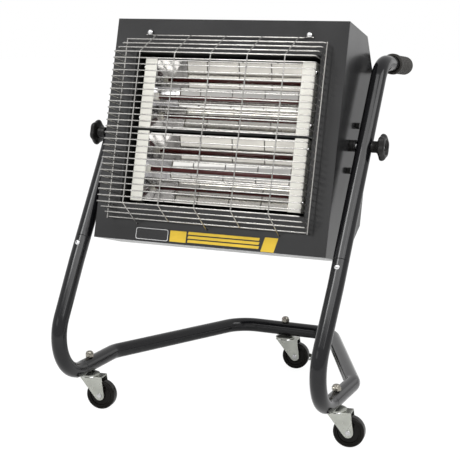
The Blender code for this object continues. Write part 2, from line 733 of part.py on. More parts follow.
def make_castor_stem(name, across, along):
    """A threaded stem with the upper swivel race and the rivet that carries the fork."""
    shank = STEM_DIAMETER / 2
    race = RACE_DIAMETER / 2
    rivet = STEM_RIVET_DIAMETER / 2
    top = BASE_HEIGHT + TUBE_RADIUS + STEM_PROUD
    rivet_top = FORK_HEIGHT - FORK_SHEET - GAP
    rivet_end = rivet_top - STEM_RIVET_HEIGHT
    crown_share = 0.55
    profile = [(0, top), (shank, top), (shank, RACE_TOP), (race * crown_share, RACE_TOP),
               (race, RACE_BOTTOM + RACE_RIM_HEIGHT), (race, RACE_BOTTOM), (shank, RACE_BOTTOM),
               (shank, rivet_top), (rivet, rivet_top), (rivet, rivet_end), (0, rivet_end)]
    stem = turned("castor_stem_" + name, profile, STEM_SIDES, ZINC)
    place(stem, TROLLEY, (across, along, 0))


def make_castor_nut(name, across, along):
    """A cap nut on top of a castor stem."""
    outer = STEM_NUT_ACROSS / 2
    bore = (STEM_DIAMETER / 2 + GAP) / math.cos(math.pi / HEX_SIDES)
    seat = BASE_HEIGHT + TUBE_RADIUS + GAP
    shoulder = seat + STEM_NUT_HEIGHT
    crown = shoulder + STEM_NUT_DOME_HEIGHT
    roof = BASE_HEIGHT + TUBE_RADIUS + STEM_PROUD + GAP
    crown_share = 0.42
    shoulder_share = 0.84
    profile = [(0, crown), (outer * crown_share, crown),
               (outer * shoulder_share, shoulder + STEM_NUT_DOME_HEIGHT / 3), (outer, shoulder),
               (outer, seat), (bore, seat), (bore, roof), (0, roof)]
    nut = turned("castor_nut_" + name, profile, HEX_SIDES, YELLOW_ZINC)
    place(nut, TROLLEY, (across, along, 0))


def tangent_angle(point, centre, radius, sign):
    """Where a line from a point touches a circle, as an angle round its centre."""
    across = point[0] - centre[0]
    up = point[1] - centre[1]
    return math.atan2(up, across) + sign * math.acos(radius / math.hypot(across, up))


def fork_side_outline():
    """One cheek of the fork: wide at the top, a round tip at the axle."""
    axle = (CASTOR_TRAIL, WHEEL_RADIUS)
    front = (-FORK_FRONT_REACH, FORK_HEIGHT)
    rear = (FORK_REAR_REACH, FORK_HEIGHT)
    first = tangent_angle(front, axle, FORK_TIP_RADIUS, 1)
    last = tangent_angle(rear, axle, FORK_TIP_RADIUS, -1)
    sweep = (last - first) % math.tau
    outline = [front]
    for step in range(BEND_STEPS + 1):
        angle = first + sweep * step / BEND_STEPS
        outline.append((axle[0] + FORK_TIP_RADIUS * math.cos(angle),
                        axle[1] + FORK_TIP_RADIUS * math.sin(angle)))
    outline.append(rear)
    return outline


def make_fork(name, frame):
    """A pressed fork: a top plate and two cheeks."""
    hole = circle(AXLE_DIAMETER / 2 + GAP, (CASTOR_TRAIL, WHEEL_RADIUS), SMALL_SIDES)
    length = FORK_FRONT_REACH + FORK_REAR_REACH
    middle = (FORK_REAR_REACH - FORK_FRONT_REACH) / 2
    stem = circle(STEM_DIAMETER / 2 + HOLE_FIT, (0, 0), SMALL_SIDES)
    fork = plate("castor_fork_" + name, [rectangle(length, 2 * FORK_HALF_WIDTH, (middle, 0)), stem],
                 FORK_SHEET, ZINC)
    place(fork, frame, (0, 0, FORK_HEIGHT - FORK_SHEET / 2))
    for mark, sign in (("near", -1), ("far", 1)):
        cheek = plate("%s_cheek_%s" % (name, mark), [fork_side_outline(), hole], FORK_SHEET, ZINC)
        place(cheek, frame, (0, sign * (FORK_HALF_INSIDE + FORK_SHEET / 2), 0), TURN_TO_FACE)
        join(fork, cheek)


def make_axle(name, frame, far_sheet):
    """A riveted axle across the fork, longer where it also carries the brake lever."""
    shank = AXLE_DIAMETER / 2
    head = AXLE_HEAD_DIAMETER / 2
    near = FORK_HALF_WIDTH + GAP
    far = near + far_sheet
    rim = AXLE_HEAD_HEIGHT / 3
    dome_share = 0.6
    profile = [(0, near + AXLE_HEAD_HEIGHT), (head * dome_share, near + AXLE_HEAD_HEIGHT),
               (head, near + rim), (head, near), (shank, near), (shank, -far), (head, -far),
               (head, -far - rim), (head * dome_share, -far - AXLE_HEAD_HEIGHT),
               (0, -far - AXLE_HEAD_HEIGHT)]
    axle = turned("castor_axle_" + name, profile, SMALL_SIDES, BRIGHT_SCREW)
    place(axle, frame, (CASTOR_TRAIL, 0, WHEEL_RADIUS), TURN_TO_FACE)


def make_wheel(name, frame):
    """A moulded wheel: tread, recessed web and hub with a bore."""
    half = WHEEL_WIDTH / 2
    tyre_inner = WHEEL_RADIUS - WHEEL_TYRE_DEPTH
    web = half - WHEEL_RECESS_DEPTH
    hub = WHEEL_HUB_DIAMETER / 2
    bore = AXLE_DIAMETER / 2 + GAP
    upper = [(bore, half), (hub, half), (hub, web), (tyre_inner, web), (tyre_inner, half),
             (WHEEL_RADIUS - WHEEL_ROUNDING, half), (WHEEL_RADIUS, half - WHEEL_ROUNDING)]
    lower = [(radius, -height) for radius, height in reversed(upper)]
    wheel = turned("castor_wheel_" + name, upper + lower, WHEEL_SIDES, WHEEL_BLACK)
    place(wheel, frame, (CASTOR_TRAIL, 0, WHEEL_RADIUS), TURN_TO_FACE)


def make_brake_lever(frame):
    """The brake of the rear castor: an arm on the far cheek with a pedal behind the tread."""
    centre = FORK_HALF_WIDTH + GAP + LEVER_SHEET / 2
    half = LEVER_WIDTH / 2
    outline = [(0, -LEVER_EYE_RADIUS), (LEVER_REACH, -half), (LEVER_REACH, 0), (0, LEVER_EYE_RADIUS)]
    for step in range(1, BEND_STEPS):
        angle = math.pi / 2 + math.pi * step / BEND_STEPS
        outline.append((LEVER_EYE_RADIUS * math.cos(angle), LEVER_EYE_RADIUS * math.sin(angle)))
    eye = circle(AXLE_DIAMETER / 2 + GAP, (0, 0), SMALL_SIDES)
    arm = plate("brake_lever", [outline, eye], LEVER_SHEET, ZINC)
    place(arm, frame, (CASTOR_TRAIL, centre, WHEEL_RADIUS), TURN_TO_FACE)
    far = centre + LEVER_SHEET / 2
    pedal = block("brake_pedal", (LEVER_PEDAL_LENGTH, LEVER_PEDAL_SPAN, LEVER_SHEET),
                  (CASTOR_TRAIL + LEVER_REACH - LEVER_PEDAL_LENGTH / 2 + LEVER_SHEET,
                   far - LEVER_PEDAL_SPAN / 2, WHEEL_RADIUS - half + LEVER_SHEET / 2), ZINC)
    join(arm, pedal)


def make_castors():
    """Three swivel castors, all trailing the same way."""
    for name, across, along in (("front_left", -BASE_HALF_WIDTH, FRONT_CASTOR_Y),
                                ("front_right", BASE_HALF_WIDTH, FRONT_CASTOR_Y),
                                ("rear", 0, REAR_TUBE_Y)):
        make_castor_stem(name, across, along)
        make_castor_nut(name, across, along)
        frame = make_empty("swivel_axis_" + name, (across, along, 0), (0, 0, CASTOR_HEADING),
                           TROLLEY)
        make_fork(name, frame)
        make_wheel(name, frame)
        if name == "rear":
            make_axle(name, frame, LEVER_SHEET + GAP)
            make_brake_lever(frame)
        else:
            make_axle(name, frame, 0)


# Tilt pivot and clamp knobs


def make_spacer(side, sign):
    """The bush that holds the casing off the upright."""
    outer = SPACER_DIAMETER / 2
    bore = STUD_DIAMETER / 2 + GAP
    half = UPRIGHT_STANDOFF / 2 - GAP
    spacer = turned("pivot_spacer_" + side,
                    [(bore, half), (outer, half), (outer, -half), (bore, -half)],
                    ROUND_SIDES, BLACK_PLASTIC)
    place(spacer, HEAD, (sign * (HALF_HEAD_WIDTH + UPRIGHT_STANDOFF / 2), 0, 0), TURN_TO_RIGHT)


def bolt_places():
    """The two bolt places beside the tilt stud, as distances back and up from it."""
    places = []
    for sign in (1, -1):
        along = sign * BOLT_REACH
        places.append((BOLT_SETBACK * math.cos(BOLT_LEAN) + along * math.sin(BOLT_LEAN),
                       along * math.cos(BOLT_LEAN) - BOLT_SETBACK * math.sin(BOLT_LEAN)))
    return places


def bolt_holes():
    """Outlines of the bolt holes in a side panel or its bracket."""
    return [circle(BOLT_DIAMETER / 2 + GAP, spot, SMALL_SIDES) for spot in bolt_places()]


def make_bracket(side, sign):
    """The stiffening plate inside a side panel, with the tilt stud welded through it."""
    bracket = plate("pivot_bracket_" + side,
                    [rectangle(BRACKET_WIDTH, BRACKET_LENGTH)] + bolt_holes(), BRACKET_SHEET, STEEL)
    outer = HALF_HEAD_WIDTH - SHEET - GAP
    place(bracket, HEAD, (sign * (outer - BRACKET_SHEET / 2), 0, 0), TURN_TO_SIDE)
    shank = STUD_DIAMETER / 2
    head = STUD_HEAD_DIAMETER / 2
    under_head = outer - BRACKET_SHEET * 3 / 4
    inside = outer - BRACKET_SHEET - STUD_HEAD_HEIGHT
    end = KNOB_SEAT + STUD_REACH
    stud = turned("tilt_stud_" + side, [(0, end), (shank, end), (shank, under_head),
                                        (head, under_head), (head, inside), (0, inside)],
                  SMALL_SIDES, STEEL)
    place(stud, HEAD, (0, 0, 0), (0, sign * math.pi / 2, 0))
    join(bracket, stud)


def make_panel_bolts(side, sign):
    """Two bolts, with a head outside and a nut inside, that hold the bracket to its panel."""
    shank = BOLT_DIAMETER / 2
    head = BOLT_HEAD_ACROSS / 2
    outside = HALF_HEAD_WIDTH + GAP
    top = outside + BOLT_HEAD_HEIGHT
    inside = HALF_HEAD_WIDTH - SHEET - BRACKET_SHEET - 2 * GAP
    end = inside - BOLT_NUT_HEIGHT
    profile = [(0, top), (head, top), (head, outside), (shank, outside), (shank, inside),
               (head, inside), (head, end), (0, end)]
    for mark, (back, up) in zip(("upper", "lower"), bolt_places()):
        bolt = turned("panel_bolt_%s_%s" % (mark, side), profile, HEX_SIDES, BLACK_PLASTIC)
        place(bolt, HEAD, (0, back, up), (0, sign * math.pi / 2, 0))


def lobed_ring(radius, height, lobe_depth):
    """One ring of a lobed shape; without any lobe depth it is round."""
    points = KNOB_LOBE_COUNT * KNOB_LOBE_STEPS
    ring = []
    for index in range(points):
        angle = math.tau * index / points
        dip = lobe_depth / 2 - lobe_depth / 2 * math.cos(KNOB_LOBE_COUNT * angle)
        reach = radius - dip
        ring.append((reach * math.cos(angle), reach * math.sin(angle), height))
    return ring


def make_knob(side, sign):
    """A lobed, rounded hand knob with a boss and a dished face, threaded on the tilt stud."""
    hole = STUD_DIAMETER / 2 + GAP
    outer = KNOB_BOSS_DIAMETER / 2
    back = KNOB_BOSS_LENGTH
    face = back + KNOB_THICKNESS
    widest_share = 0.22
    round_share = 0.55
    shoulder_share = 0.88
    lobed = [(KNOB_BACK_DIAMETER / 2, back),
             (KNOB_DIAMETER / 2, back + KNOB_THICKNESS * widest_share),
             (KNOB_DIAMETER / 2, back + KNOB_THICKNESS * round_share),
             (KNOB_SHOULDER_DIAMETER / 2, back + KNOB_THICKNESS * shoulder_share)]
    round_face = [(KNOB_RIM_DIAMETER / 2, face), (KNOB_DISH_DIAMETER / 2, face),
                  (KNOB_DISH_DIAMETER / 2, face - KNOB_DISH_DEPTH), (hole, face - KNOB_DISH_DEPTH)]
    rings = [lobed_ring(*station, 0) for station in [(hole, 0), (outer, 0), (outer, back)]]
    rings += [lobed_ring(*station, KNOB_LOBE_DEPTH) for station in lobed]
    rings += [lobed_ring(*station, 0) for station in round_face]
    count = len(rings[0])
    faces = []
    for index in range(len(rings)):
        start = index * count
        following = (index + 1) % len(rings) * count
        for step in range(count):
            beside = (step + 1) % count
            faces.append((start + step, start + beside, following + beside, following + step))
    name = "clamp_knob_" + side
    mesh = bpy.data.meshes.new(name)
    mesh.from_pydata([point for ring in rings for point in ring], [], faces)
    weld(mesh)
    knob = bpy.data.objects.new(name, mesh)
    PARTS.objects.link(knob)
    frame = make_empty("knob_axis_" + side, (sign * KNOB_SEAT, 0, 0), (0, sign * math.pi / 2, 0),
                       HEAD)
    place(set_finish(knob, BLACK_PLASTIC), frame)


# Casing


def casing_profile(inset):
    """The side view of the casing, from the bottom front round the back to the top front."""
    low = -HALF_HEAD_HEIGHT + inset
    high = HALF_HEAD_HEIGHT - inset
    back = BACK_Y - inset
    corner = CHAMFER - inset * (1 - math.tan(math.pi / 8))
    front = FACE_Y + SHEET + GAP
    return [(front, low), (back - corner, low), (back, low + corner), (back, high - corner),
            (back - corner, high), (front, high)]


def switch_places():
    """Where each rocker switch sits on the back."""
    return ((1, -SWITCH_SPACING / 2), (2, SWITCH_SPACING / 2))


def make_casing_wrap():
    """The folded sheet that makes the bottom, back and top, with vents and service openings."""
    outline = casing_profile(0) + list(reversed(casing_profile(SHEET)))
    wrap = plate("casing_wrap", [outline], HEAD_WIDTH - 2 * (SHEET + GAP), BLACK_COAT)
    place(wrap, HEAD, (0, 0, 0), TURN_TO_SIDE)
    middle = BACK_Y - SHEET / 2
    slots = []
    for row in range(SLOT_ROWS):
        up = SLOT_ROW_HEIGHT + (row - (SLOT_ROWS - 1) / 2) * SLOT_ROW_PITCH
        for column in range(SLOT_COLUMNS):
            across = (column - (SLOT_COLUMNS - 1) / 2) * SLOT_PITCH
            slots.append(block("slot_%d_%d" % (row, column), (SLOT_WIDTH, OVERRUN, SLOT_HEIGHT),
                               (across, middle, up), BLACK_COAT))
    openings = [bar("gland_opening", GLAND_DIAMETER / 2 + GAP, OVERRUN,
                    (-GLAND_OFFSET, middle, -SWITCH_DROP), (0, 1, 0), ROUND_SIDES)]
    for number, across in switch_places():
        openings.append(block("switch_opening_%d" % number,
                              (SWITCH_FRAME_WIDTH, OVERRUN, SWITCH_FRAME_HEIGHT),
                              (across, middle, -SWITCH_DROP), BLACK_COAT))
    cut(wrap, gather("vent_slots", slots), gather("service_openings", openings))


def make_side_panel(side, sign):
    """One flat end of the casing, with the stud and bolt holes."""
    stud = circle(STUD_DIAMETER / 2 + GAP, (0, 0), SMALL_SIDES)
    panel = plate("side_panel_" + side, [casing_profile(0), stud] + bolt_holes(), SHEET, BLACK_COAT)
    place(panel, HEAD, (sign * (HALF_HEAD_WIDTH - SHEET / 2), 0, 0), TURN_TO_SIDE)


def guard_upright_places():
    """Where the guard's upright wires stand, and whether each ends in a hole in the face."""
    return [(index * GUARD_UPRIGHT_PITCH, index % 2 == 0) for index in range(-2, 3)]


def make_front_panel():
    """The face, with the lamp opening and the guard's screw and wire holes."""
    outlines = [rectangle(HEAD_WIDTH, HEAD_HEIGHT),
                rectangle(OPENING_WIDTH, OPENING_HEIGHT, (0, OPENING_RISE))]
    for sign in (-1, 1):
        outlines.append(circle(GUARD_SCREW_DIAMETER / 2 + GAP,
                               (sign * GUARD_SCREW_HALF_SPACING, GUARD_SCREW_HEIGHT), SMALL_SIDES))
    for across, has_hole in guard_upright_places():
        if has_hole:
            outlines.append(circle(GUARD_WIRE / 2 + GAP, (across, -GUARD_FOOT_HEIGHT),
                                   SMALL_SIDES))
    panel = plate("front_panel", outlines, SHEET, BLACK_COAT)
    place(panel, HEAD, (0, FACE_Y + SHEET / 2, 0), TURN_TO_FACE)


# Lamp tray


def make_lamp_tray():
    """A folded tray that lines the opening, closed behind the reflectors."""
    inside = rectangle(TRAY_WIDTH - 2 * TRAY_SHEET, TRAY_HEIGHT - 2 * TRAY_SHEET, (0, OPENING_RISE))
    tray = plate("lamp_tray", [rectangle(TRAY_WIDTH, TRAY_HEIGHT, (0, OPENING_RISE)), inside],
                 TRAY_DEPTH, TRAY_BLACK)
    place(tray, HEAD, (0, FACE_Y + TRAY_DEPTH / 2, 0), TURN_TO_FACE)
    floor = block("lamp_tray_floor", (TRAY_WIDTH, TRAY_SHEET, TRAY_HEIGHT),
                  (0, FACE_Y + TRAY_DEPTH - TRAY_SHEET / 2, OPENING_RISE), TRAY_BLACK)
    join(tray, floor)
    width = TRAY_WIDTH - 2 * (TRAY_SHEET + GAP)
    divider = block("divider_bar", (width, DIVIDER_DEPTH, DIVIDER_HEIGHT),
                    (0, UNIT_FRONT + DIVIDER_DEPTH / 2, OPENING_RISE), TRAY_BLACK)
    divider.parent = HEAD


def reflector_line(inset):
    """One face of a reflector's sheet from its upper lip round to its lower lip, as (depth, height).

    A low ridge behind the lamp keeps its own light off it.
    """
    upper_slope = math.tan(REFLECTOR_UPPER_SLOPE)
    lower_slope = math.tan(REFLECTOR_LOWER_SLOPE)
    mouth = UNIT_HEIGHT / 2 - GAP
    upper = mouth - inset / math.cos(REFLECTOR_UPPER_SLOPE)
    lower = mouth - inset / math.cos(REFLECTOR_LOWER_SLOPE)
    depth = REFLECTOR_DEPTH - inset
    upper_fold = upper - depth * upper_slope
    lower_fold = depth * lower_slope - lower
    start = END_PLATE_SHEET + GAP
    return [(REFLECTOR_TOP_SETBACK, upper - REFLECTOR_TOP_SETBACK * upper_slope),
            (depth, upper_fold),
            (depth - REFLECTOR_RIDGE, (upper_fold + lower_fold) / 2),
            (depth, lower_fold),
            (start, start * lower_slope - lower)]


def make_reflector(unit, sign):
    """A polished trough behind one lamp, with the posts that carry the lamp's ends."""
    outline = reflector_line(0) + reflector_line(REFLECTOR_SHEET)[::-1]
    length = UNIT_WIDTH - 2 * (END_PLATE_SHEET + GAP)
    trough = plate("reflector_" + unit, [outline], length, POLISHED)
    place(trough, HEAD, (0, UNIT_FRONT, unit_height(sign)), TURN_TO_SIDE)
    front = UNIT_FRONT + LAMP_SETBACK + LAMP_CAP_THICKNESS / 2 + GAP
    back = REFLECTOR_BACK - (REFLECTOR_SHEET + REFLECTOR_RIDGE) / 2
    for mark, hand in (("left", -1), ("right", 1)):
        post = block("lamp_post_%s_%s" % (unit, mark),
                     (LAMP_HOLDER_WIDTH, back - front, LAMP_HOLDER_HEIGHT),
                     (hand * lamp_cap_place(), (front + back) / 2, unit_height(sign)), STEEL)
        join(trough, post)


def unit_height(sign):
    """Height of a lamp and its unit's middle in the casing's frame, upper (1) or lower (-1)."""
    return OPENING_RISE + sign * UNIT_PITCH / 2


def lamp_cap_place():
    """Distance from the middle to the middle of a lamp's cap."""
    return LAMP_GLASS_LENGTH / 2 - LAMP_CAP_BITE + LAMP_CAP_LENGTH / 2


def make_end_plates(unit, sign):
    """White plates folded round the two ends of a lamp unit, each with two screw heads."""
    half = UNIT_WIDTH / 2
    for side, hand in (("left", -1), ("right", 1)):
        name = "end_plate_%s_%s" % (unit, side)
        inner = half - END_PLATE_WIDTH
        wall = half - END_PLATE_SHEET
        outline = [(hand * inner, 0), (hand * half, 0), (hand * half, REFLECTOR_DEPTH),
                   (hand * wall, REFLECTOR_DEPTH), (hand * wall, END_PLATE_SHEET),
                   (hand * inner, END_PLATE_SHEET)]
        cover = plate(name, [outline], UNIT_HEIGHT - 2 * GAP, WHITE_PLATE)
        place(cover, HEAD, (0, UNIT_FRONT, unit_height(sign)))
        for mark, rise in (("upper", END_SCREW_SPACING / 2), ("lower", -END_SCREW_SPACING / 2)):
            head = bar("%s_screw_%s" % (name, mark), END_SCREW_DIAMETER / 2,
                       END_SCREW_HEIGHT + END_PLATE_SHEET,
                       (hand * (half + END_SCREW_HEIGHT / 2 - END_PLATE_SHEET / 2),
                        UNIT_FRONT + END_SCREW_SETBACK, unit_height(sign) + rise),
                       (1, 0, 0), SMALL_SIDES)
            join(cover, head)


def make_lamp(unit, sign):
    """A quartz tube with flat pinched ends cemented into ceramic caps."""
    radius = LAMP_DIAMETER / 2
    half = LAMP_GLASS_LENGTH / 2
    neck = half - LAMP_PINCH_LENGTH
    neck_share = 0.6
    profile = [(0, neck + radius), (radius * neck_share, neck + radius / 2), (radius, neck),
               (radius, -neck), (radius * neck_share, -neck - radius / 2), (0, -neck - radius)]
    name = "quartz_lamp_" + unit
    glass = turned(name, profile, SMALL_SIDES, RUBY_GLASS)
    spot = (0, UNIT_FRONT + LAMP_SETBACK, unit_height(sign))
    place(glass, HEAD, spot, TURN_TO_RIGHT)
    for mark, hand in (("left", -1), ("right", 1)):
        pinch = block("%s_pinch_%s" % (name, mark),
                      (LAMP_PINCH_LENGTH, LAMP_PINCH_THICKNESS, LAMP_DIAMETER),
                      (hand * (half - LAMP_PINCH_LENGTH / 2), spot[1], spot[2]), RUBY_GLASS)
        cap = block("%s_cap_%s" % (name, mark),
                    (LAMP_CAP_LENGTH, LAMP_CAP_THICKNESS, LAMP_CAP_HEIGHT),
                    (hand * lamp_cap_place(), spot[1], spot[2]), CERAMIC)
        join(glass, pinch, cap)


# Guard


def guard_rows():
    """Standoff and height of every cross wire but the top one."""
    rows = [(GUARD_STANDOFF, GUARD_LOW_ROW + index * GUARD_PITCH) for index in range(GUARD_ROWS)]
    for index in range(1, GUARD_SLOPE_ROWS + 1):
        share = index / (GUARD_SLOPE_ROWS + 1)
        rows.append((GUARD_STANDOFF + (GUARD_TOP_STANDOFF - GUARD_STANDOFF) * share,
                     GUARD_TOP_ROW + (GUARD_TOP_HEIGHT - GUARD_TOP_ROW) * share))
        rows.append((GUARD_STANDOFF * (1 - share),
                     GUARD_LOW_ROW + (-GUARD_FOOT_HEIGHT - GUARD_LOW_ROW) * share))
    return rows


def wire(name, corners, bend_radius):
    """One round wire through corners, with small bends."""
    points = [Vector(corner) for corner in corners]
    path = bent_path(points, [bend_radius] * (len(points) - 2), WIRE_BEND_STEPS)
    return rod(name, [(point, GUARD_WIRE / 2) for point in path], WIRE_BEVEL_STEPS, CHROME_WIRE)


def make_cross_wires():
    """The rows across the guard, each bent back to the face at both ends, and the top wire."""
    wires = []
    foot = FACE_Y - GAP
    for index, (standoff, height) in enumerate(guard_rows()):
        front = FACE_Y - standoff
        wires.append(wire("row_%d" % index, [(-GUARD_HALF_WIDTH, foot, height),
                                             (-GUARD_HALF_WIDTH, front, height),
                                             (GUARD_HALF_WIDTH, front, height),
                                             (GUARD_HALF_WIDTH, foot, height)],
                          GUARD_BEND_RADIUS))
    front = FACE_Y - GUARD_TOP_STANDOFF
    hook_front = FACE_Y - GUARD_WIRE / 2 - GAP
    hook_height = GUARD_SCREW_HEIGHT - GUARD_SCREW_DIAMETER / 2 - GUARD_WIRE / 2 - GAP
    corners = []
    for hand in (-1, 1):
        turn = hand * (GUARD_TOP_HALF_LENGTH + GUARD_HOOK_RUN)
        arm = [(turn + hand * GUARD_HOOK_LENGTH, hook_front, hook_height),
               (turn, hook_front, hook_height),
               (hand * GUARD_TOP_HALF_LENGTH, front, GUARD_TOP_HEIGHT)]
        corners += arm[::-hand]
    wires.append(wire("top_wire", corners, GUARD_HOOK_BEND_RADIUS))
    return wires


def make_upright_wires():
    """The five wires up the front of the guard and the two side rails."""
    wires = []
    front = GUARD_FRONT - GUARD_WELD_OFFSET
    top = FACE_Y - GUARD_TOP_STANDOFF - GUARD_WELD_OFFSET
    for index, (across, has_hole) in enumerate(guard_upright_places()):
        bend = Vector((across, front, GUARD_TOP_ROW))
        crest = Vector((across, top, GUARD_TOP_HEIGHT))
        corners = [crest + (crest - bend).normalized() * GUARD_WIRE, bend,
                   (across, front, GUARD_LOW_ROW)]
        if has_hole:
            corners.append((across, FACE_Y - GUARD_FOOT_TURN, -GUARD_FOOT_HEIGHT))
            corners.append((across, FACE_Y + SHEET + GAP, -GUARD_FOOT_HEIGHT))
        else:
            standoff, height = guard_rows()[-1]
            corners.append((across, FACE_Y - standoff - GUARD_WELD_OFFSET, height))
        wires.append(wire("upright_%d" % index, corners, GUARD_BEND_RADIUS))
    rail = FACE_Y - GUARD_SIDE_RAIL_STANDOFF
    high = guard_rows()[-2][1] + GUARD_SIDE_RAIL_END
    low = guard_rows()[-1][1] - GUARD_SIDE_RAIL_END
    for hand in (-1, 1):
        across = hand * (GUARD_HALF_WIDTH + GUARD_WELD_OFFSET)
        wires.append(wire("rail_%d" % hand, [(across, rail, low), (across, rail, high)], 0))
    return wires


def make_guard():
    """The welded wire guard."""
    guard = place(gather("wire_guard", make_cross_wires()), HEAD)
    join(guard, gather("guard_uprights", make_upright_wires()))


def make_guard_screw(side, sign):
    """A domed screw that pins one hook of the guard's top wire to the face."""
    shank = GUARD_SCREW_DIAMETER / 2
    head = GUARD_SCREW_HEAD_DIAMETER / 2
    under = GUARD_WIRE + 2 * GAP
    crown = under + GUARD_SCREW_HEAD_HEIGHT
    crown_share = 0.55
    profile = [(0, crown), (head * crown_share, crown - GUARD_SCREW_HEAD_HEIGHT / 6),
               (head, under + GUARD_SCREW_HEAD_HEIGHT / 3), (head, under), (shank, under),
               (shank, -GUARD_SCREW_LENGTH), (0, -GUARD_SCREW_LENGTH)]
    screw = turned("guard_screw_" + side, profile, SMALL_SIDES, BRIGHT_SCREW)
    place(screw, HEAD, (sign * GUARD_SCREW_HALF_SPACING, FACE_Y, GUARD_SCREW_HEIGHT), TURN_TO_FACE)


# Back of the casing


def make_switch(number, across):
    """A rocker switch: a frame through the back, and a rocker on its pin."""
    width = SWITCH_FRAME_WIDTH - 2 * GAP
    height = SWITCH_FRAME_HEIGHT - 2 * GAP
    inside = rectangle(width - 2 * SWITCH_WALL, height - 2 * SWITCH_WALL)
    name = "switch_frame_%d" % number
    body = plate(name, [rectangle(width, height), inside], SWITCH_BODY_DEPTH, BLACK_PLASTIC)
    place(body, HEAD, (across, BACK_Y + SWITCH_BEZEL_THICKNESS - SWITCH_BODY_DEPTH / 2,
                       -SWITCH_DROP), TURN_TO_FACE)
    bezel = plate(name + "_bezel",
                  [rectangle(width + 2 * SWITCH_RIM, height + 2 * SWITCH_RIM), inside],
                  SWITCH_BEZEL_THICKNESS - GAP, BLACK_PLASTIC)
    place(bezel, HEAD, (across, BACK_Y + (SWITCH_BEZEL_THICKNESS + GAP) / 2, -SWITCH_DROP),
          TURN_TO_FACE)
    socket_reach = width / 2 - SWITCH_WALL + ROCKER_PIN_REACH + GAP
    sockets = bar(name + "_sockets", ROCKER_PIN_DIAMETER / 2 + GAP, 2 * socket_reach,
                  (across, BACK_Y - ROCKER_PIVOT_DEPTH, -SWITCH_DROP), (1, 0, 0), SMALL_SIDES)
    join(body, bezel)
    cut(body, sockets)
    half = height / 2 - SWITCH_WALL - ROCKER_CLEARANCE
    rise = SWITCH_BEZEL_THICKNESS + ROCKER_PROUD + ROCKER_PIVOT_DEPTH
    dip = half * math.tan(ROCKER_TILT)
    low = -ROCKER_PIVOT_DEPTH
    outline = [(rise - dip / 2, -half + dip / 2), (low, -half / 2), (low, half / 2),
               (rise - dip / 2, half - dip / 2), (rise - dip, 0)]
    frame = make_empty("rocker_axis_%d" % number,
                       (across, BACK_Y - ROCKER_PIVOT_DEPTH, -SWITCH_DROP), (ROCKER_TILT, 0, 0),
                       HEAD)
    rocker = plate("switch_rocker_%d" % number, [outline],
                   width - 2 * (SWITCH_WALL + ROCKER_CLEARANCE), BLACK_PLASTIC)
    place(rocker, frame, (0, 0, 0), TURN_TO_SIDE)
    pin = bar("rocker_pin_%d" % number, ROCKER_PIN_DIAMETER / 2, 2 * (socket_reach - GAP),
              (0, 0, 0), (1, 0, 0), SMALL_SIDES)
    join(rocker, pin)


def make_gland():
    """The supply cable gland in the back, with its lock nut inside."""
    thread = GLAND_DIAMETER / 2
    nut = GLAND_NUT_DIAMETER / 2
    bore = GLAND_BORE / 2
    nose = GAP + GLAND_NUT_LENGTH
    nose_share = 0.72
    spot = (-GLAND_OFFSET, BACK_Y, -SWITCH_DROP)
    profile = [(bore, nose), (nut * nose_share, nose), (nut, nose - GLAND_NUT_LENGTH / 3),
               (nut, GAP), (thread, GAP), (thread, -GLAND_THREAD_LENGTH),
               (bore, -GLAND_THREAD_LENGTH)]
    place(turned("cable_gland", profile, ROUND_SIDES, BLACK_PLASTIC), HEAD, spot, TURN_TO_BACK)
    top = -SHEET - GAP
    end = top - LOCK_NUT_LENGTH
    lock_nut = turned("gland_lock_nut", [(thread + GAP, top), (nut, top), (nut, end),
                                         (thread + GAP, end)], ROUND_SIDES, BLACK_PLASTIC)
    place(lock_nut, HEAD, spot, TURN_TO_BACK)


def make_terminal_block():
    """The ceramic terminal block on the inside of the back."""
    middle = BACK_Y - SHEET - GAP - TERMINAL_DEPTH / 2
    terminals = block("terminal_block", (TERMINAL_LENGTH, TERMINAL_DEPTH, TERMINAL_HEIGHT),
                      (0, middle, TERMINAL_RISE), CERAMIC)
    terminals.parent = HEAD
    pitch = TERMINAL_LENGTH / TERMINAL_POLES
    wells = []
    for index in range(TERMINAL_POLES):
        across = (index - (TERMINAL_POLES - 1) / 2) * pitch
        wells.append(bar("terminal_well_%d" % index, TERMINAL_WELL_DIAMETER / 2,
                         2 * TERMINAL_WELL_DEPTH,
                         (across, middle - TERMINAL_DEPTH / 2, TERMINAL_RISE), (0, 1, 0),
                         SMALL_SIDES))
    cut(terminals, gather("terminal_wells", wells))


make_base_tube()
for side_name, side_sign in (("left", -1), ("right", 1)):
    make_lower_upright(side_name, side_sign)
    make_upper_upright(side_name, side_sign)
    make_joint_screw(side_name, side_sign)
    make_grip(side_name, side_sign)
    make_spacer(side_name, side_sign)
    make_bracket(side_name, side_sign)
    make_panel_bolts(side_name, side_sign)
    make_knob(side_name, side_sign)
    make_side_panel(side_name, side_sign)
    make_guard_screw(side_name, side_sign)
make_castors()
make_casing_wrap()
make_front_panel()
make_lamp_tray()
for unit_name, unit_sign in (("upper", 1), ("lower", -1)):
    make_reflector(unit_name, unit_sign)
    make_end_plates(unit_name, unit_sign)
    make_lamp(unit_name, unit_sign)
make_guard()
for switch_number, switch_across in switch_places():
    make_switch(switch_number, switch_across)
make_gland()
make_terminal_block()
bpy.context.view_layer.update()
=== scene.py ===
"""Looks of the infrared cabinet heater on its tubular trolley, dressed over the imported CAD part.

Metres, +Z up, front towards -Y. Trolley pieces are set out in the trolley's frame, whose Y is
measured back from the tilt axis, and head pieces in the head's frame: X across, Y back from the
tilt axis, Z up the face.
"""

import json
import math

import bmesh
import bpy
from mathutils import Matrix, Vector


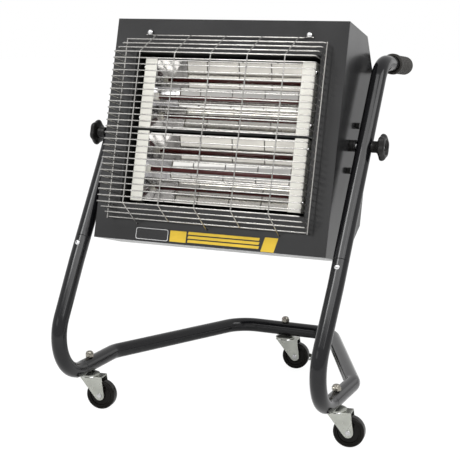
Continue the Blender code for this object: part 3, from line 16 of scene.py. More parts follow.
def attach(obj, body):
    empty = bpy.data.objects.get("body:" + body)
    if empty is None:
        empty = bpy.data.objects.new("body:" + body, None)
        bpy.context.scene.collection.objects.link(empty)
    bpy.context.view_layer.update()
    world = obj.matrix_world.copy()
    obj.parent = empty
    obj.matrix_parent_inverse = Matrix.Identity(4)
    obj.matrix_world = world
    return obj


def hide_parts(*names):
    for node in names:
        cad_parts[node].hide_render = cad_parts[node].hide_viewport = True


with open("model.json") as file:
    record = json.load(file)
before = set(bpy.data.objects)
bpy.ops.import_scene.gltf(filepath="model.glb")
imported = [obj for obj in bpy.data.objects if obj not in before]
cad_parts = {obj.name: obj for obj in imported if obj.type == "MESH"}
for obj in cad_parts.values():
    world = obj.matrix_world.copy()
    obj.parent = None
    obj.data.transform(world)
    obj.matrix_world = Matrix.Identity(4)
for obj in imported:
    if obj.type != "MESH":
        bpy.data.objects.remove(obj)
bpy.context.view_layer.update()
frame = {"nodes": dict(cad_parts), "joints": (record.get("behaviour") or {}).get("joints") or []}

CLEARANCE = 0.0003

# Trolley
TUBE_RADIUS = 0.0127
TUBE_BORE = 0.0112
SPIGOT_RADIUS = 0.0105
SPIGOT_WALL = 0.0015
SPIGOT_DEPTH = 0.012
SPIGOT_OVERLAP = 0.006
BASE_HEIGHT = 0.075
BASE_HALF_WIDTH = 0.219
REAR_HALF_WIDTH = 0.0915
REAR_Y = 0.2597
REAR_BEND_RADIUS = 0.056
STUB_BEND_Y = -0.0118
STUB_BEND_RADIUS = 0.045
STUB_END_Y = -0.1214
STUB_GAP = 0.0006
STUB_SPIGOT = 0.052
UPRIGHT_X = 0.2235
PIVOT_HEIGHT = 0.458
LEAN = math.radians(32.6)
FOOT_Y = -(PIVOT_HEIGHT - BASE_HEIGHT) * math.tan(LEAN)
FOOT_BEND_RADIUS = 0.0655
JOINT_DROP = 0.194
JOINT_SPIGOT = 0.034
JOINT_SCREW_DROP = 0.0145
DRIFT_DROP = 0.042
HANDLE_RISE = 0.151
HANDLE_LENGTH = 0.1375
HANDLE_BEND_RADIUS = 0.05
HANDLE_DROOP = math.radians(4.3)
GRIP_END = 0.004
GRIP_GROOVES = 6

# Castors
CASTOR_Y = -0.0968
CASTOR_HEADING = math.radians(6.1)
CASTOR_TRAIL = 0.022
WHEEL_RADIUS = 0.025
FORK_HALF_WIDTH = 0.01245
BRAKE_SHEET = 0.0019

# Head
HEAD_LEAN = math.radians(14.8)
HALF_WIDTH = 0.2005
FACE = -0.065
BACK = 0.097
SHEET = 0.0012
STUD_BORE = 0.0053
SPACER_LENGTH = 0.01
KNOB_LOBES = 6
LOBE_DEPTH = 0.0024

# Lamp units
UNIT_FRONT = -0.053
UNIT_HALF_WIDTH = 0.1488
UNIT_HEIGHT = 0.1165
UNIT_HALF_PITCH = 0.06075
OPENING_RISE = 0.0022
TROUGH_DEPTH = 0.052
TROUGH_RIDGE = 0.0022
TROUGH_MARGIN = 0.0015
TROUGH_SHEET = 0.0008
TROUGH_BEND = 0.0025
UPPER_SLOPE = math.tan(math.radians(36.7))
LOWER_SLOPE = math.tan(math.radians(39.9))
END_FOIL_INSET = 0.0214
END_FOIL = 0.0004
END_PLATE_INSET = 0.0218
LAMP_SETBACK = 0.0376
LAMP_RADIUS = 0.00375
LAMP_NECK = 0.130
PINCH_X = 0.1335
POST_X = 0.136
CAP_X = 0.139

# Guard
WIRE_RADIUS = 0.001
WELD = 0.0012
GUARD_HALF_WIDTH = 0.171
GUARD_RISE = -0.006
STANDOFF = 0.058
ROW_PITCH = 0.0101
ROWS_EACH_WAY = 12
TOP_ROW = GUARD_RISE + ROWS_EACH_WAY * ROW_PITCH
LOW_ROW = GUARD_RISE - ROWS_EACH_WAY * ROW_PITCH
TOP_STANDOFF = 0.0078
TOP_HEIGHT = 0.1535
FOOT_HEIGHT = 0.155
FRONT_WIRE_PITCH = 0.0615

PIVOT = Vector(next(j["pos_m"] for j in frame["joints"] if j["name"] == "head_tilt"))
TROLLEY = Matrix.Translation((0, PIVOT.y, 0))
HEAD = Matrix.Translation(PIVOT) @ Matrix.Rotation(-HEAD_LEAN, 4, "X")
SIDES = (("left", -1), ("right", 1))
UNITS = (("upper", 1), ("lower", -1))


# Materials


def finish(name, colour, roughness, metallic=0.0, specular=0.5, shades=(0.85, 1.15), patch=14.0,
           rough_spread=0.06, grain=900.0, bump=0.12, depth=0.0002, stretch=(1, 1, 1), tint=None,
           tint_scale=40.0, tint_cover=0.62):
    """A Principled finish with soft patches of shade, roughness that varies and a fine grain.

    patch, grain and tint_scale are noise scales, stretch squeezes the noise along each axis, and
    a tint shows where its noise rises over tint_cover.
    """
    material = bpy.data.materials.new(name)
    material.use_nodes = True
    tree = material.node_tree
    nodes, links = tree.nodes, tree.links
    shader = nodes["Principled BSDF"]
    shader.inputs["Metallic"].default_value = metallic
    shader.inputs["Specular IOR Level"].default_value = specular
    place = nodes.new("ShaderNodeTexCoord")
    mapping = nodes.new("ShaderNodeMapping")
    mapping.inputs["Scale"].default_value = stretch
    links.new(place.outputs["Object"], mapping.inputs["Vector"])

    def noise(scale, detail, roughness=0.5):
        node = nodes.new("ShaderNodeTexNoise")
        node.inputs["Scale"].default_value = scale
        node.inputs["Detail"].default_value = detail
        node.inputs["Roughness"].default_value = roughness
        links.new(mapping.outputs["Vector"], node.inputs["Vector"])
        return node.outputs["Fac"]

    def spread(value, low, high, out_low, out_high):
        node = nodes.new("ShaderNodeMapRange")
        node.inputs["From Min"].default_value = low
        node.inputs["From Max"].default_value = high
        node.inputs["To Min"].default_value = out_low
        node.inputs["To Max"].default_value = out_high
        links.new(value, node.inputs["Value"])
        return node.outputs["Result"]

    def mixed(factor, first, second):
        node = nodes.new("ShaderNodeMix")
        node.data_type = "RGBA"
        links.new(factor, node.inputs["Factor"])
        for socket, value in ((node.inputs["A"], first), (node.inputs["B"], second)):
            if isinstance(value, bpy.types.NodeSocket):
                links.new(value, socket)
            else:
                socket.default_value = (*value, 1)
        return node.outputs["Result"]

    dark = tuple(channel * shades[0] for channel in colour)
    light = tuple(min(1.0, channel * shades[1]) for channel in colour)
    noise_low, noise_high, tint_edge, least_roughness, finer = 0.3, 0.7, 0.12, 0.02, 3
    shade = mixed(spread(noise(patch, detail=5.0), noise_low, noise_high, 0.0, 1.0), dark, light)
    if tint:
        spots = noise(tint_scale, detail=6.0, roughness=0.65)
        cover = spread(spots, tint_cover, tint_cover + tint_edge, 0.0, 1.0)
        shade = mixed(cover, shade, tint)
    links.new(shade, shader.inputs["Base Color"])
    links.new(spread(noise(patch * finer, detail=4.0), noise_low, noise_high,
                     max(least_roughness, roughness - rough_spread), roughness + rough_spread),
              shader.inputs["Roughness"])
    relief = nodes.new("ShaderNodeBump")
    relief.inputs["Strength"].default_value = bump
    relief.inputs["Distance"].default_value = depth
    links.new(noise(grain, detail=2.0), relief.inputs["Height"])
    links.new(relief.outputs["Normal"], shader.inputs["Normal"])
    material.diffuse_color = (*colour, 1)
    return material


COAT = finish("black_powder_coat", (0.0175, 0.0175, 0.018), 0.2, specular=0.4, patch=7.0,
              grain=1500.0, bump=0.05, depth=0.00004, rough_spread=0.03)
TUBE_COAT = finish("grey_tube_coat", (0.0060, 0.0060, 0.0070), 0.13, specular=0.38, patch=18.0,
                   grain=700.0, bump=0.05, depth=0.00005, rough_spread=0.04)
TRAY = finish("matt_black", (0.008, 0.0085, 0.008), 0.62, specular=0.25, grain=700.0, bump=0.3)
ENAMEL = finish("white_end_plate", (0.78, 0.765, 0.70), 0.36, shades=(0.93, 1.03), patch=22.0,
                tint=(0.56, 0.50, 0.38), tint_scale=26.0, tint_cover=0.66, grain=1200.0,
                bump=0.08)
# The darker grey tint streaks, stretched along X, are a painted reflection of the room in the
# polished flanks.
MIRROR = finish("polished_aluminium", (0.67, 0.66, 0.63), 0.03, metallic=1.0,
                shades=(0.93, 1.05), patch=14.0, rough_spread=0.01, grain=14.0, bump=0.04,
                depth=0.001, stretch=(0.2, 1.0, 1.0), tint=(0.55, 0.54, 0.52), tint_scale=16.0,
                tint_cover=0.46)
CRINKLE = finish("crinkled_aluminium", (0.86, 0.86, 0.90), 0.07, metallic=0.85,
                 shades=(0.94, 1.05), patch=60.0, rough_spread=0.03, grain=60.0, bump=0.05,
                 depth=0.0012)
RUBY = finish("ruby_quartz", (0.052, 0.0085, 0.008), 0.05, specular=0.3, shades=(0.75, 1.25),
              patch=30.0, grain=180.0, bump=0.05, rough_spread=0.03)
CERAMIC = finish("ceramic", (0.74, 0.72, 0.65), 0.55, shades=(0.9, 1.05), patch=60.0,
                 tint=(0.45, 0.42, 0.36), tint_scale=90.0, tint_cover=0.64, grain=1400.0,
                 bump=0.3)
WIRE = finish("chrome_wire", (0.49, 0.48, 0.46), 0.22, metallic=1.0, shades=(0.8, 1.15),
              patch=24.0, tint=(0.36, 0.33, 0.29), tint_scale=60.0, tint_cover=0.63,
              grain=900.0, bump=0.1)
ZINC = finish("zinc_plate", (0.43, 0.44, 0.40), 0.3, metallic=0.9, shades=(0.88, 1.1),
              patch=40.0, tint=(0.35, 0.35, 0.315), tint_scale=90.0, tint_cover=0.62,
              grain=800.0, bump=0.2)
YELLOW_ZINC = finish("yellow_zinc", (0.27, 0.255, 0.22), 0.24, metallic=0.95, shades=(0.7, 1.25),
                     patch=90.0, tint=(0.45, 0.36, 0.34), tint_scale=120.0, tint_cover=0.58,
                     grain=900.0, bump=0.15)
SCREW = finish("bright_screw", (0.80, 0.80, 0.81), 0.16, metallic=1.0, shades=(0.9, 1.08),
               patch=120.0, grain=1500.0, bump=0.1)
PLASTIC = finish("black_plastic", (0.010, 0.0097, 0.0093), 0.36, specular=0.25, patch=60.0,
                 grain=2200.0, bump=0.3, depth=0.0001)
RUBBER = finish("grip_rubber", (0.036, 0.034, 0.031), 0.62, specular=0.25, patch=40.0,
                grain=1500.0, bump=0.4, tint=(0.07, 0.064, 0.058), tint_scale=110.0)
WHEEL_BLACK = finish("wheel_plastic", (0.0062, 0.0055, 0.0045), 0.2, specular=0.15, patch=50.0,
                     grain=1500.0, bump=0.3, tint=(0.020, 0.018, 0.015), tint_scale=160.0,
                     tint_cover=0.66)
STEEL = finish("plain_steel", (0.58, 0.58, 0.58), 0.28, metallic=1.0, patch=50.0, grain=400.0,
               bump=0.25, stretch=(1, 1, 6))
BRASS = finish("terminal_brass", (0.60, 0.44, 0.18), 0.3, metallic=1.0, patch=150.0)
YELLOW = finish("yellow_print", (0.72, 0.49, 0.045), 0.5, specular=0.3, shades=(0.94, 1.05),
                patch=60.0, grain=1800.0, bump=0.1)
BADGE = finish("badge_black", (0.010, 0.010, 0.011), 0.22, patch=60.0, grain=2000.0, bump=0.05)
BADGE_LINE = finish("badge_line", (0.74, 0.74, 0.74), 0.35, patch=80.0)


# Shapes: each is a list of points and a list of faces

LONGEST_CUT = 0.48
TIP_RADIUS = 1e-7


def mesh_of(name, shapes, matrix):
    """One mesh of several shapes, set in place by a matrix, with its faces turned out."""
    points, faces = [], []
    for shape_points, shape_faces in shapes:
        start = len(points)
        points += [matrix @ Vector(point) for point in shape_points]
        faces += [[start + index for index in face] for face in shape_faces]
    mesh = bpy.data.meshes.new(name)
    mesh.from_pydata(points, [], faces)
    shape = bmesh.new()
    shape.from_mesh(mesh)
    bmesh.ops.recalc_face_normals(shape, faces=shape.faces)
    shape.to_mesh(mesh)
    shape.free()
    return mesh


def show(name, mesh, material, body, nodes=(), sharp=34.0):
    """A shown piece that rides on a body and stands for its CAD nodes."""
    item = bpy.data.objects.new(name, mesh)
    bpy.context.scene.collection.objects.link(item)
    mesh.materials.clear()
    mesh.materials.append(material)
    mesh.shade_smooth()
    mesh.set_sharp_from_angle(angle=math.radians(sharp))
    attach(item, body)
    if nodes:
        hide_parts(*nodes)
    return item


def make(name, shapes, matrix, material, body, nodes=(), sharp=34.0):
    """A piece from shapes."""
    return show(name, mesh_of(name, shapes, matrix), material, body, nodes, sharp)


def rounded(points, radius, steps, closed=False):
    """An outline with each corner rounded by up to the radius."""
    points = [Vector(point) for point in points]
    outline = []
    for index, point in enumerate(points):
        if not closed and index in (0, len(points) - 1):
            outline.append(tuple(point))
            continue
        before = points[index - 1] - point
        after = points[(index + 1) % len(points)] - point
        cut = min(radius, before.length * LONGEST_CUT, after.length * LONGEST_CUT)
        start = point + before.normalized() * cut
        end = point + after.normalized() * cut
        for step in range(steps + 1):
            share = step / steps
            outline.append(tuple(start * (1 - share) ** 2 + point * 2 * share * (1 - share)
                                 + end * share ** 2))
    return outline


def ringed(rows, closed):
    """Faces between rows of points, where a row of one point is a tip."""
    faces = []
    pairs = list(zip(rows[:-1], rows[1:]))
    if closed:
        pairs.append((rows[-1], rows[0]))
    for first, second in pairs:
        count = max(len(first), len(second))
        for index in range(count):
            beside = (index + 1) % count
            if len(first) == 1 and len(second) == 1:
                break
            if len(first) == 1:
                faces.append([first[0], second[beside], second[index]])
            elif len(second) == 1:
                faces.append([first[index], first[beside], second[0]])
            else:
                faces.append([first[index], first[beside], second[beside], second[index]])
    return faces


def lathe(profile, sides, closed=False, wave=None):
    """A shape turned about Z from (radius, height) points. wave(angle, radius) shapes its rings."""
    points, rows = [], []
    for radius, height in profile:
        row = []
        if radius < TIP_RADIUS:
            row.append(len(points))
            points.append((0, 0, height))
        else:
            for index in range(sides):
                angle = math.tau * index / sides
                reach = wave(angle, radius) if wave else radius
                row.append(len(points))
                points.append((reach * math.cos(angle), reach * math.sin(angle), height))
        rows.append(row)
    return points, ringed(rows, closed)


def sweep(path, radius, sides, bore=0.0, sink=0.02):
    """A round bar along a path. With a bore its ends are hollow to the depth of sink."""
    rim = 0.0004

    def hollow_end(end, away):
        """Stations at one end, from the bottom of its bore over the rim to its outside."""
        return [(path[end] - away * sink, end, bore), (path[end] - away * rim, end, bore),
                (path[end], end, bore + rim), (path[end], end, radius - rim),
                (path[end] - away * rim, end, radius)]

    path = [Vector(point) for point in path]
    last = len(path) - 1
    tangents = [(path[min(index + 1, last)] - path[max(index - 1, 0)]).normalized()
                for index in range(last + 1)]
    normals = [tangents[0].orthogonal().normalized()]
    for index in range(last):
        turn = tangents[index].rotation_difference(tangents[index + 1])
        normals.append((turn @ normals[-1]).normalized())
    stations = [(path[index], index, radius) for index in range(last + 1)]
    if bore:
        stations = (hollow_end(0, -tangents[0]) + stations[1:-1]
                    + hollow_end(last, tangents[last])[::-1])
    points, rows = [], []
    for centre, index, reach in stations:
        side = normals[index]
        other = tangents[index].cross(side)
        row = []
        for step in range(sides):
            angle = math.tau * step / sides
            row.append(len(points))
            points.append(centre + side * reach * math.cos(angle)
                          + other * reach * math.sin(angle))
        rows.append(row)
    faces = ringed(rows, False)
    faces.append(rows[0][::-1])
    faces.append(rows[-1])
    return points, faces


def bend(corner, before, after, radius, steps):
    """Points of the arc that rounds a corner between two directions."""
    turn = before.angle(after)
    start = corner - before * radius * math.tan(turn / 2)
    inward = (after - before * before.dot(after)).normalized()
    centre = start + inward * radius
    return [centre + radius * (before * math.sin(turn * step / steps)
                               - inward * math.cos(turn * step / steps))
            for step in range(steps + 1)]


def bent(corners, radii, steps):
    """A path through corners, each inner corner rounded."""
    corners = [Vector(corner) for corner in corners]
    path = [corners[0]]
    for index, radius in enumerate(radii):
        corner = corners[index + 1]
        before = (corner - corners[index]).normalized()
        after = (corners[index + 2] - corner).normalized()
        path += bend(corner, before, after, radius, steps)
    path.append(corners[-1])
    return path


def slab(outline, low, high, edge):
    """A flat plate in XY between two heights, its upper and lower edges eased."""
    centre = Vector((sum(p[0] for p in outline), sum(p[1] for p in outline))) / len(outline)
    points, rows = [], []

    def add(inset, height):
        row = []
        for point in outline:
            out = Vector(point) - centre
            share = max(0.0, 1 - inset / out.length)
            row.append(len(points))
            points.append((*(centre + out * share), height))
        rows.append(row)

    add(edge, low)
    add(0, low + edge)
    add(0, high - edge)
    add(edge, high)
    faces = ringed(rows, False)
    faces.append(rows[0][::-1])
    faces.append(rows[-1])
    return points, faces


def box(low, high):
    """A plain block between two corners, as a shape inside a larger piece."""
    points = [(x, y, z) for x in (low[0], high[0]) for y in (low[1], high[1])
              for z in (low[2], high[2])]
    faces = [[0, 1, 3, 2], [4, 6, 7, 5], [0, 4, 5, 1], [2, 3, 7, 6], [0, 2, 6, 4], [1, 5, 7, 3]]
    return points, faces


def moved(shape, matrix):
    """A shape carried by a matrix."""
    points, faces = shape
    return [matrix @ Vector(point) for point in points], faces


def band(first, second):
    """A strip of faces between two closed outlines of as many points."""
    count = len(first)
    faces = [[index, (index + 1) % count, (index + 1) % count + count, index + count]
             for index in range(count)]
    return first + second, faces


def prism(first, second):
    """A solid between two closed outlines of as many points."""
    points, faces = band(first, second)
    count = len(first)
    return points, faces + [list(range(count))[::-1], list(range(count, 2 * count))]


def ease(item, width, segments=2):
    """Round the edges of a piece and keep its flats flat."""
    step = item.modifiers.new("eased_edges", "BEVEL")
    step.width = width
    step.segments = segments
    step.limit_method = "ANGLE"
    step.angle_limit = math.radians(30.0)
    step.harden_normals = True
    step.use_clamp_overlap = True
    return item


def cad_copy(node, fold=0.0):
    """A clean copy of a CAD node's mesh. Its long folds across X are rounded by fold."""
    same_place, flat, bevel_steps = 0.000004, math.radians(1.5), 6
    long_edge, least_fold, most_fold = 0.3, 0.6, 1.0
    shape = bmesh.new()
    shape.from_mesh(frame["nodes"][node].data)
    bmesh.ops.remove_doubles(shape, verts=shape.verts, dist=same_place)
    bmesh.ops.dissolve_limit(shape, angle_limit=flat, verts=shape.verts, edges=shape.edges)
    if fold:
        for convex, width in ((True, fold), (False, fold - SHEET)):
            edges = [edge for edge in shape.edges
                     if edge.is_manifold and edge.calc_length() > long_edge
                     and least_fold < edge.calc_face_angle(0) < most_fold
                     and edge.is_convex == convex]
            if edges:
                bmesh.ops.bevel(shape, geom=edges, offset=width * math.tan(math.pi / 8),
                                segments=bevel_steps, profile=0.5, affect="EDGES",
                                clamp_overlap=True)
    mesh = bpy.data.meshes.new(node + "_finished")
    shape.to_mesh(mesh)
    shape.free()
    return mesh


def soften(node, material, body, width, segments=2, fold=0.0):
    """A CAD node with its edges eased by a width and its finish on."""
    item = show(node + "_finished", cad_copy(node, fold), material, body, (node,))
    return ease(item, width, segments)


def turn(about_x=0.0, about_y=0.0, about_z=0.0):
    """A rotation from turns about X, Y and Z in that order."""
    return (Matrix.Rotation(about_z, 4, "Z") @ Matrix.Rotation(about_y, 4, "Y")
            @ Matrix.Rotation(about_x, 4, "X"))


def at(*place):
    """A move to a place."""
    return Matrix.Translation(place)


# Trolley tubes


def along_upright(distance, across):
    """A point on an upright's centre line, measured down from the tilt axis."""
    return Vector((across, -distance * math.sin(LEAN), PIVOT_HEIGHT - distance * math.cos(LEAN)))


def make_tube(node, path, spigot_path):
    """A tube of the trolley with the spigot that it carries."""
    shapes = [sweep(path, TUBE_RADIUS, sides=40, bore=TUBE_BORE)]
    if spigot_path:
        shapes.append(sweep(spigot_path, SPIGOT_RADIUS, sides=32,
                            bore=SPIGOT_RADIUS - SPIGOT_WALL, sink=SPIGOT_DEPTH))
    make(node + "_finished", shapes, TROLLEY, TUBE_COAT, "trolley", (node,))


def make_tubes():
    """The base, the two lower uprights and the two upper uprights, with their grips."""
    corners = [(-BASE_HALF_WIDTH, STUB_END_Y, BASE_HEIGHT),
               (-BASE_HALF_WIDTH, STUB_BEND_Y, BASE_HEIGHT),
               (-REAR_HALF_WIDTH, REAR_Y, BASE_HEIGHT), (REAR_HALF_WIDTH, REAR_Y, BASE_HEIGHT),
               (BASE_HALF_WIDTH, STUB_BEND_Y, BASE_HEIGHT),
               (BASE_HALF_WIDTH, STUB_END_Y, BASE_HEIGHT)]
    radii = [STUB_BEND_RADIUS, REAR_BEND_RADIUS, REAR_BEND_RADIUS, STUB_BEND_RADIUS]
    make_tube("base_tube", bent(corners, radii, steps=14), None)
    for side, sign in SIDES:
        across = sign * UPRIGHT_X
        start = along_upright(JOINT_DROP + DRIFT_DROP, across)
        foot = Vector((across, FOOT_Y, BASE_HEIGHT))
        end = Vector((across, STUB_END_Y - STUB_GAP, BASE_HEIGHT))
        path = bent([start, foot, end], [FOOT_BEND_RADIUS], steps=22)
        # The foot stands a little further in than the joint, so the tube drifts across.
        drift = sign * BASE_HALF_WIDTH - across
        for point in path:
            point.x += drift * (start.z - point.z) / (start.z - BASE_HEIGHT)
        path.insert(0, along_upright(JOINT_DROP + CLEARANCE, across))
        make_tube("lower_upright_" + side, path,
                  [path[-1] + Vector((0, -SPIGOT_OVERLAP, 0)),
                   path[-1] + Vector((0, STUB_SPIGOT, 0))])
        top = along_upright(-HANDLE_RISE, across)
        back = Vector((0, math.cos(HANDLE_DROOP), -math.sin(HANDLE_DROOP)))
        path = bent([top + back * HANDLE_LENGTH, top, along_upright(JOINT_DROP, across)],
                    [HANDLE_BEND_RADIUS], steps=20)
        make_tube("upper_upright_" + side, path,
                  [along_upright(JOINT_DROP - SPIGOT_OVERLAP, across),
                   along_upright(JOINT_DROP + JOINT_SPIGOT, across)])
        make_grip(side, top + back * (HANDLE_LENGTH + CLEARANCE + GRIP_END))
        make_joint_screw(side, across)


def make_grip(side, spot):
    """A grooved rubber sleeve with a flange and a rounded closed end."""
    outer, bore, length = 0.0155, 0.0131, 0.078
    flange, flange_length = 0.01725, 0.009
    groove_depth, groove_half, groove_mouth = 0.0009, 0.0008, 0.0016
    pitch = (length - flange_length) / (GRIP_GROOVES + 1)
    profile = [(0, 0), (outer, 0)]
    for index in range(GRIP_GROOVES):
        groove = -pitch * (index + 1)
        profile += [(outer, groove + groove_mouth), (outer - groove_depth, groove + groove_half),
                    (outer - groove_depth, groove - groove_half), (outer, groove - groove_mouth)]
    profile += [(outer, flange_length - length), (flange, flange_length - length),
                (flange, -length), (bore, -length), (bore, -GRIP_END), (0, -GRIP_END)]
    first = rounded(profile[:3], radius=0.003, steps=5)[:-1]
    rest = rounded(profile[1:], radius=0.0006, steps=2)[1:]
    make("grip_%s_finished" % side, [lathe(first + rest, sides=44)],
         TROLLEY @ at(*spot) @ turn(-math.pi / 2 - HANDLE_DROOP), RUBBER, "trolley",
         ("grip_" + side,))


def make_joint_screw(side, across):
    """A domed cross-head screw that pins a sleeve joint, with its recess drawn as matt black
    blocks, a painted shade.
    """
    outward = Vector((0, -math.cos(LEAN), math.sin(LEAN)))
    spot = along_upright(JOINT_DROP + JOINT_SCREW_DROP, across) + outward * TUBE_RADIUS
    frame_here = TROLLEY @ at(*spot) @ turn(math.pi / 2 - LEAN)
    dome = [(0, 0.0025), (0.0016, 0.0024), (0.003, 0.0019), (0.0039, 0.0011), (0.00425, 0.0003),
            (0.0025, 0.0003), (0.0025, -0.0022), (0, -0.0022)]
    make("joint_screw_%s_finished" % side, [lathe(dome, sides=28)], frame_here, SCREW, "trolley",
         ("joint_screw_" + side,))
    # The cross recess is not cut: matt black blocks fill it and stand for the shade inside it, a
    # painted shade.
    reach, slit, low, high = 0.0017, 0.00028, 0.0018, 0.00253
    cross = [box((-reach, -slit, low), (reach, slit, high)),
             box((-slit, -reach, low), (slit, reach, high))]
    make("joint_screw_recess_shade_" + side, cross, frame_here, TRAY, "trolley")


# Castors


def hexagon(angle, radius):
    """The reach of a hexagon whose corners stand at the radius."""
    share = (angle + math.pi / 6) % (math.pi / 3) - math.pi / 6
    return radius * math.cos(math.pi / 6) / math.cos(abs(share) - math.pi / 6)


def make_castor(name, across, along, brake):
    """One swivel castor: threaded stem, cap nut, races, fork, wheel and riveted axle."""
    base = TROLLEY @ at(across, along, 0)
    swivel = base @ turn(about_z=CASTOR_HEADING)
    fork_body = "fork_" + name
    thread, root, pitch, tip, height, thread_foot = 0.004, 0.0036, 0.001, 0.0942, 0.0936, 0.0625
    profile = [(0, tip), (0.0032, tip), (thread, height)]
    while height > thread_foot:
        profile += [(thread, height), (root, height - pitch / 2), (thread, height - pitch)]
        height -= pitch
    race = [(0.004, 0.062), (0.0098, 0.062), (0.0125, 0.0615), (0.0155, 0.0605), (0.0173, 0.0596),
            (0.0175, 0.0588), (0.0175, 0.0575), (0.0166, 0.0575), (0.004, 0.0577),
            (0.004, 0.0549), (0.007, 0.0549), (0.007, 0.0541), (0.0055, 0.0534), (0, 0.0534)]
    make("castor_stem_%s_finished" % name, [lathe(profile + race, sides=40)], base, ZINC,
         "trolley", ("castor_stem_" + name,))
    seat, outer, bore = 0.088, 0.0076, thread + CLEARANCE
    body = [(bore, seat + 0.004), (bore, seat), (outer * 0.93, seat), (outer, seat + 0.0006),
            (outer, seat + 0.0056), (outer * 0.92, seat + 0.0062)]
    dome = [(outer * 0.84, seat + 0.006), (outer * 0.84, seat + 0.0064),
            (outer * 0.8, seat + 0.0076), (outer * 0.66, seat + 0.0091),
            (outer * 0.42, seat + 0.0100), (0, seat + 0.0102)]

    def nut_wave(angle, radius):
        return hexagon(angle, radius) if radius > outer * 0.9 else radius

    make("castor_nut_%s_finished" % name,
         [lathe(body, sides=48, wave=nut_wave), lathe(dome, sides=48)], base, YELLOW_ZINC,
         "trolley", ("castor_nut_" + name,), sharp=28.0)
    soften("castor_fork_" + name, ZINC, fork_body, width=0.0007, segments=3)
    lower_race = [(0.0065, 0.0573), (0.0150, 0.0573), (0.0168, 0.0569), (0.0172, 0.0562),
                  (0.0160, 0.0556), (0.0065, 0.0556)]
    make("castor_race_" + name, [lathe(lower_race, sides=40, closed=True)], swivel, SCREW,
         fork_body)
    axle = swivel @ at(CASTOR_TRAIL, 0, WHEEL_RADIUS) @ turn(math.pi / 2)
    half, hub, web, rim = 0.00925, 0.0085, 0.00625, 0.0175
    side = [(0.0033, half), (hub, half), (hub + 0.0004, web), (rim - 0.0006, web),
            (rim, half - 0.0004), (0.0192, half), (0.0195, half - 0.0007),
            (0.0200, half - 0.0007), (0.0203, half), (0.0222, half), (0.0238, half - 0.0009),
            (0.0247, half - 0.0025), (WHEEL_RADIUS, half - 0.0045)]
    ring = rounded(side + [(r, -h) for r, h in reversed(side)], radius=0.0005, steps=2,
                   closed=True)
    make("castor_wheel_%s_finished" % name, [lathe(ring, sides=72, closed=True)], axle,
         WHEEL_BLACK, "wheel_" + name, ("castor_wheel_" + name,))
    near = FORK_HALF_WIDTH + CLEARANCE
    far = near + (BRAKE_SHEET if brake else 0.0)
    dome = [(0, near + 0.0022), (0.0018, near + 0.0021), (0.0033, near + 0.0016),
            (0.0043, near + 0.0008), (0.0045, near), (0.003, near), (0.003, -far),
            (0.0045, -far), (0.0043, -far - 0.0008), (0.0033, -far - 0.0016),
            (0.0018, -far - 0.0021), (0, -far - 0.0022)]
    make("castor_axle_%s_finished" % name, [lathe(dome, sides=32)], axle, STEEL, fork_body,
         ("castor_axle_" + name,))


# Tilt pivot and clamp knobs


def lobed(angle, radius):
    """The reach of the clamp knob's rim, which swells into lobes."""
    lobes_from, lobes_over = 0.0140, 0.0050
    lobe = LOBE_DEPTH * min(1.0, max(0.0, (radius - lobes_from) / lobes_over))
    return radius - lobe / 2 * (1 - math.cos(KNOB_LOBES * angle))


def make_pivot(side, sign):
    """Spacer, bracket with its stud, panel bolts and the lobed clamp knob on one side."""
    outward = turn(about_y=sign * math.pi / 2)
    low, high, outer = HALF_WIDTH + CLEARANCE, HALF_WIDTH + SPACER_LENGTH, 0.00935
    middle = (low + high) / 2
    seam = outer - 0.0006
    ring = [(STUD_BORE, low), (outer, low), (outer, middle - 0.0004), (seam, middle - 0.0002),
            (seam, middle + 0.0002), (outer, middle + 0.0004), (outer, high), (STUD_BORE, high)]
    ring = rounded(ring, radius=0.0004, steps=2, closed=True)
    make("pivot_spacer_%s_finished" % side, [lathe(ring, sides=44, closed=True)],
         HEAD @ outward, PLASTIC, "heater_head", ("pivot_spacer_" + side,))
    soften("pivot_bracket_" + side, STEEL, "heater_head", width=0.0003)
    for mark in ("upper", "lower"):
        soften("panel_bolt_%s_%s" % (mark, side), PLASTIC, "heater_head",
               width=0.0005, segments=3)
    seat = UPRIGHT_X + TUBE_RADIUS + CLEARANCE
    back, thick = 0.0122, 0.0105
    face = back + thick
    stations = [(STUD_BORE, 0.0), (0.00925, 0.0), (0.00925, back * 0.62), (0.0100, back * 0.68),
                (0.0100, back), (0.0165, back), (0.0180, back + thick * 0.04),
                (0.0202, back + thick * 0.12), (0.0213, back + thick * 0.25),
                (0.0215, back + thick * 0.40), (0.0213, back + thick * 0.55),
                (0.0203, back + thick * 0.74), (0.0186, back + thick * 0.90),
                (0.0165, back + thick * 0.985), (0.0148, face), (0.0126, face),
                (0.0119, face - 0.0006), (0.0117, face - 0.0019), (0.0108, face - 0.0025),
                (0.0078, face - 0.0025), (0.0074, face - 0.0020), (0.0068, face - 0.0020),
                (0.0064, face - 0.0025), (STUD_BORE, face - 0.0025)]
    make("clamp_knob_%s_finished" % side, [lathe(stations, sides=96, closed=True, wave=lobed)],
         HEAD @ at(sign * seat, 0, 0) @ outward, PLASTIC, "knob_" + side,
         ("clamp_knob_" + side,), sharp=50.0)


# Casing


def rounded_rectangle(left, right, low, high, radius, lean=0.0):
    """An outline with rounded corners; lean slants its two ends."""
    corners = [(left, low), (right, low), (right + lean, high), (left + lean, high)]
    return rounded(corners, radius, steps=4, closed=True)


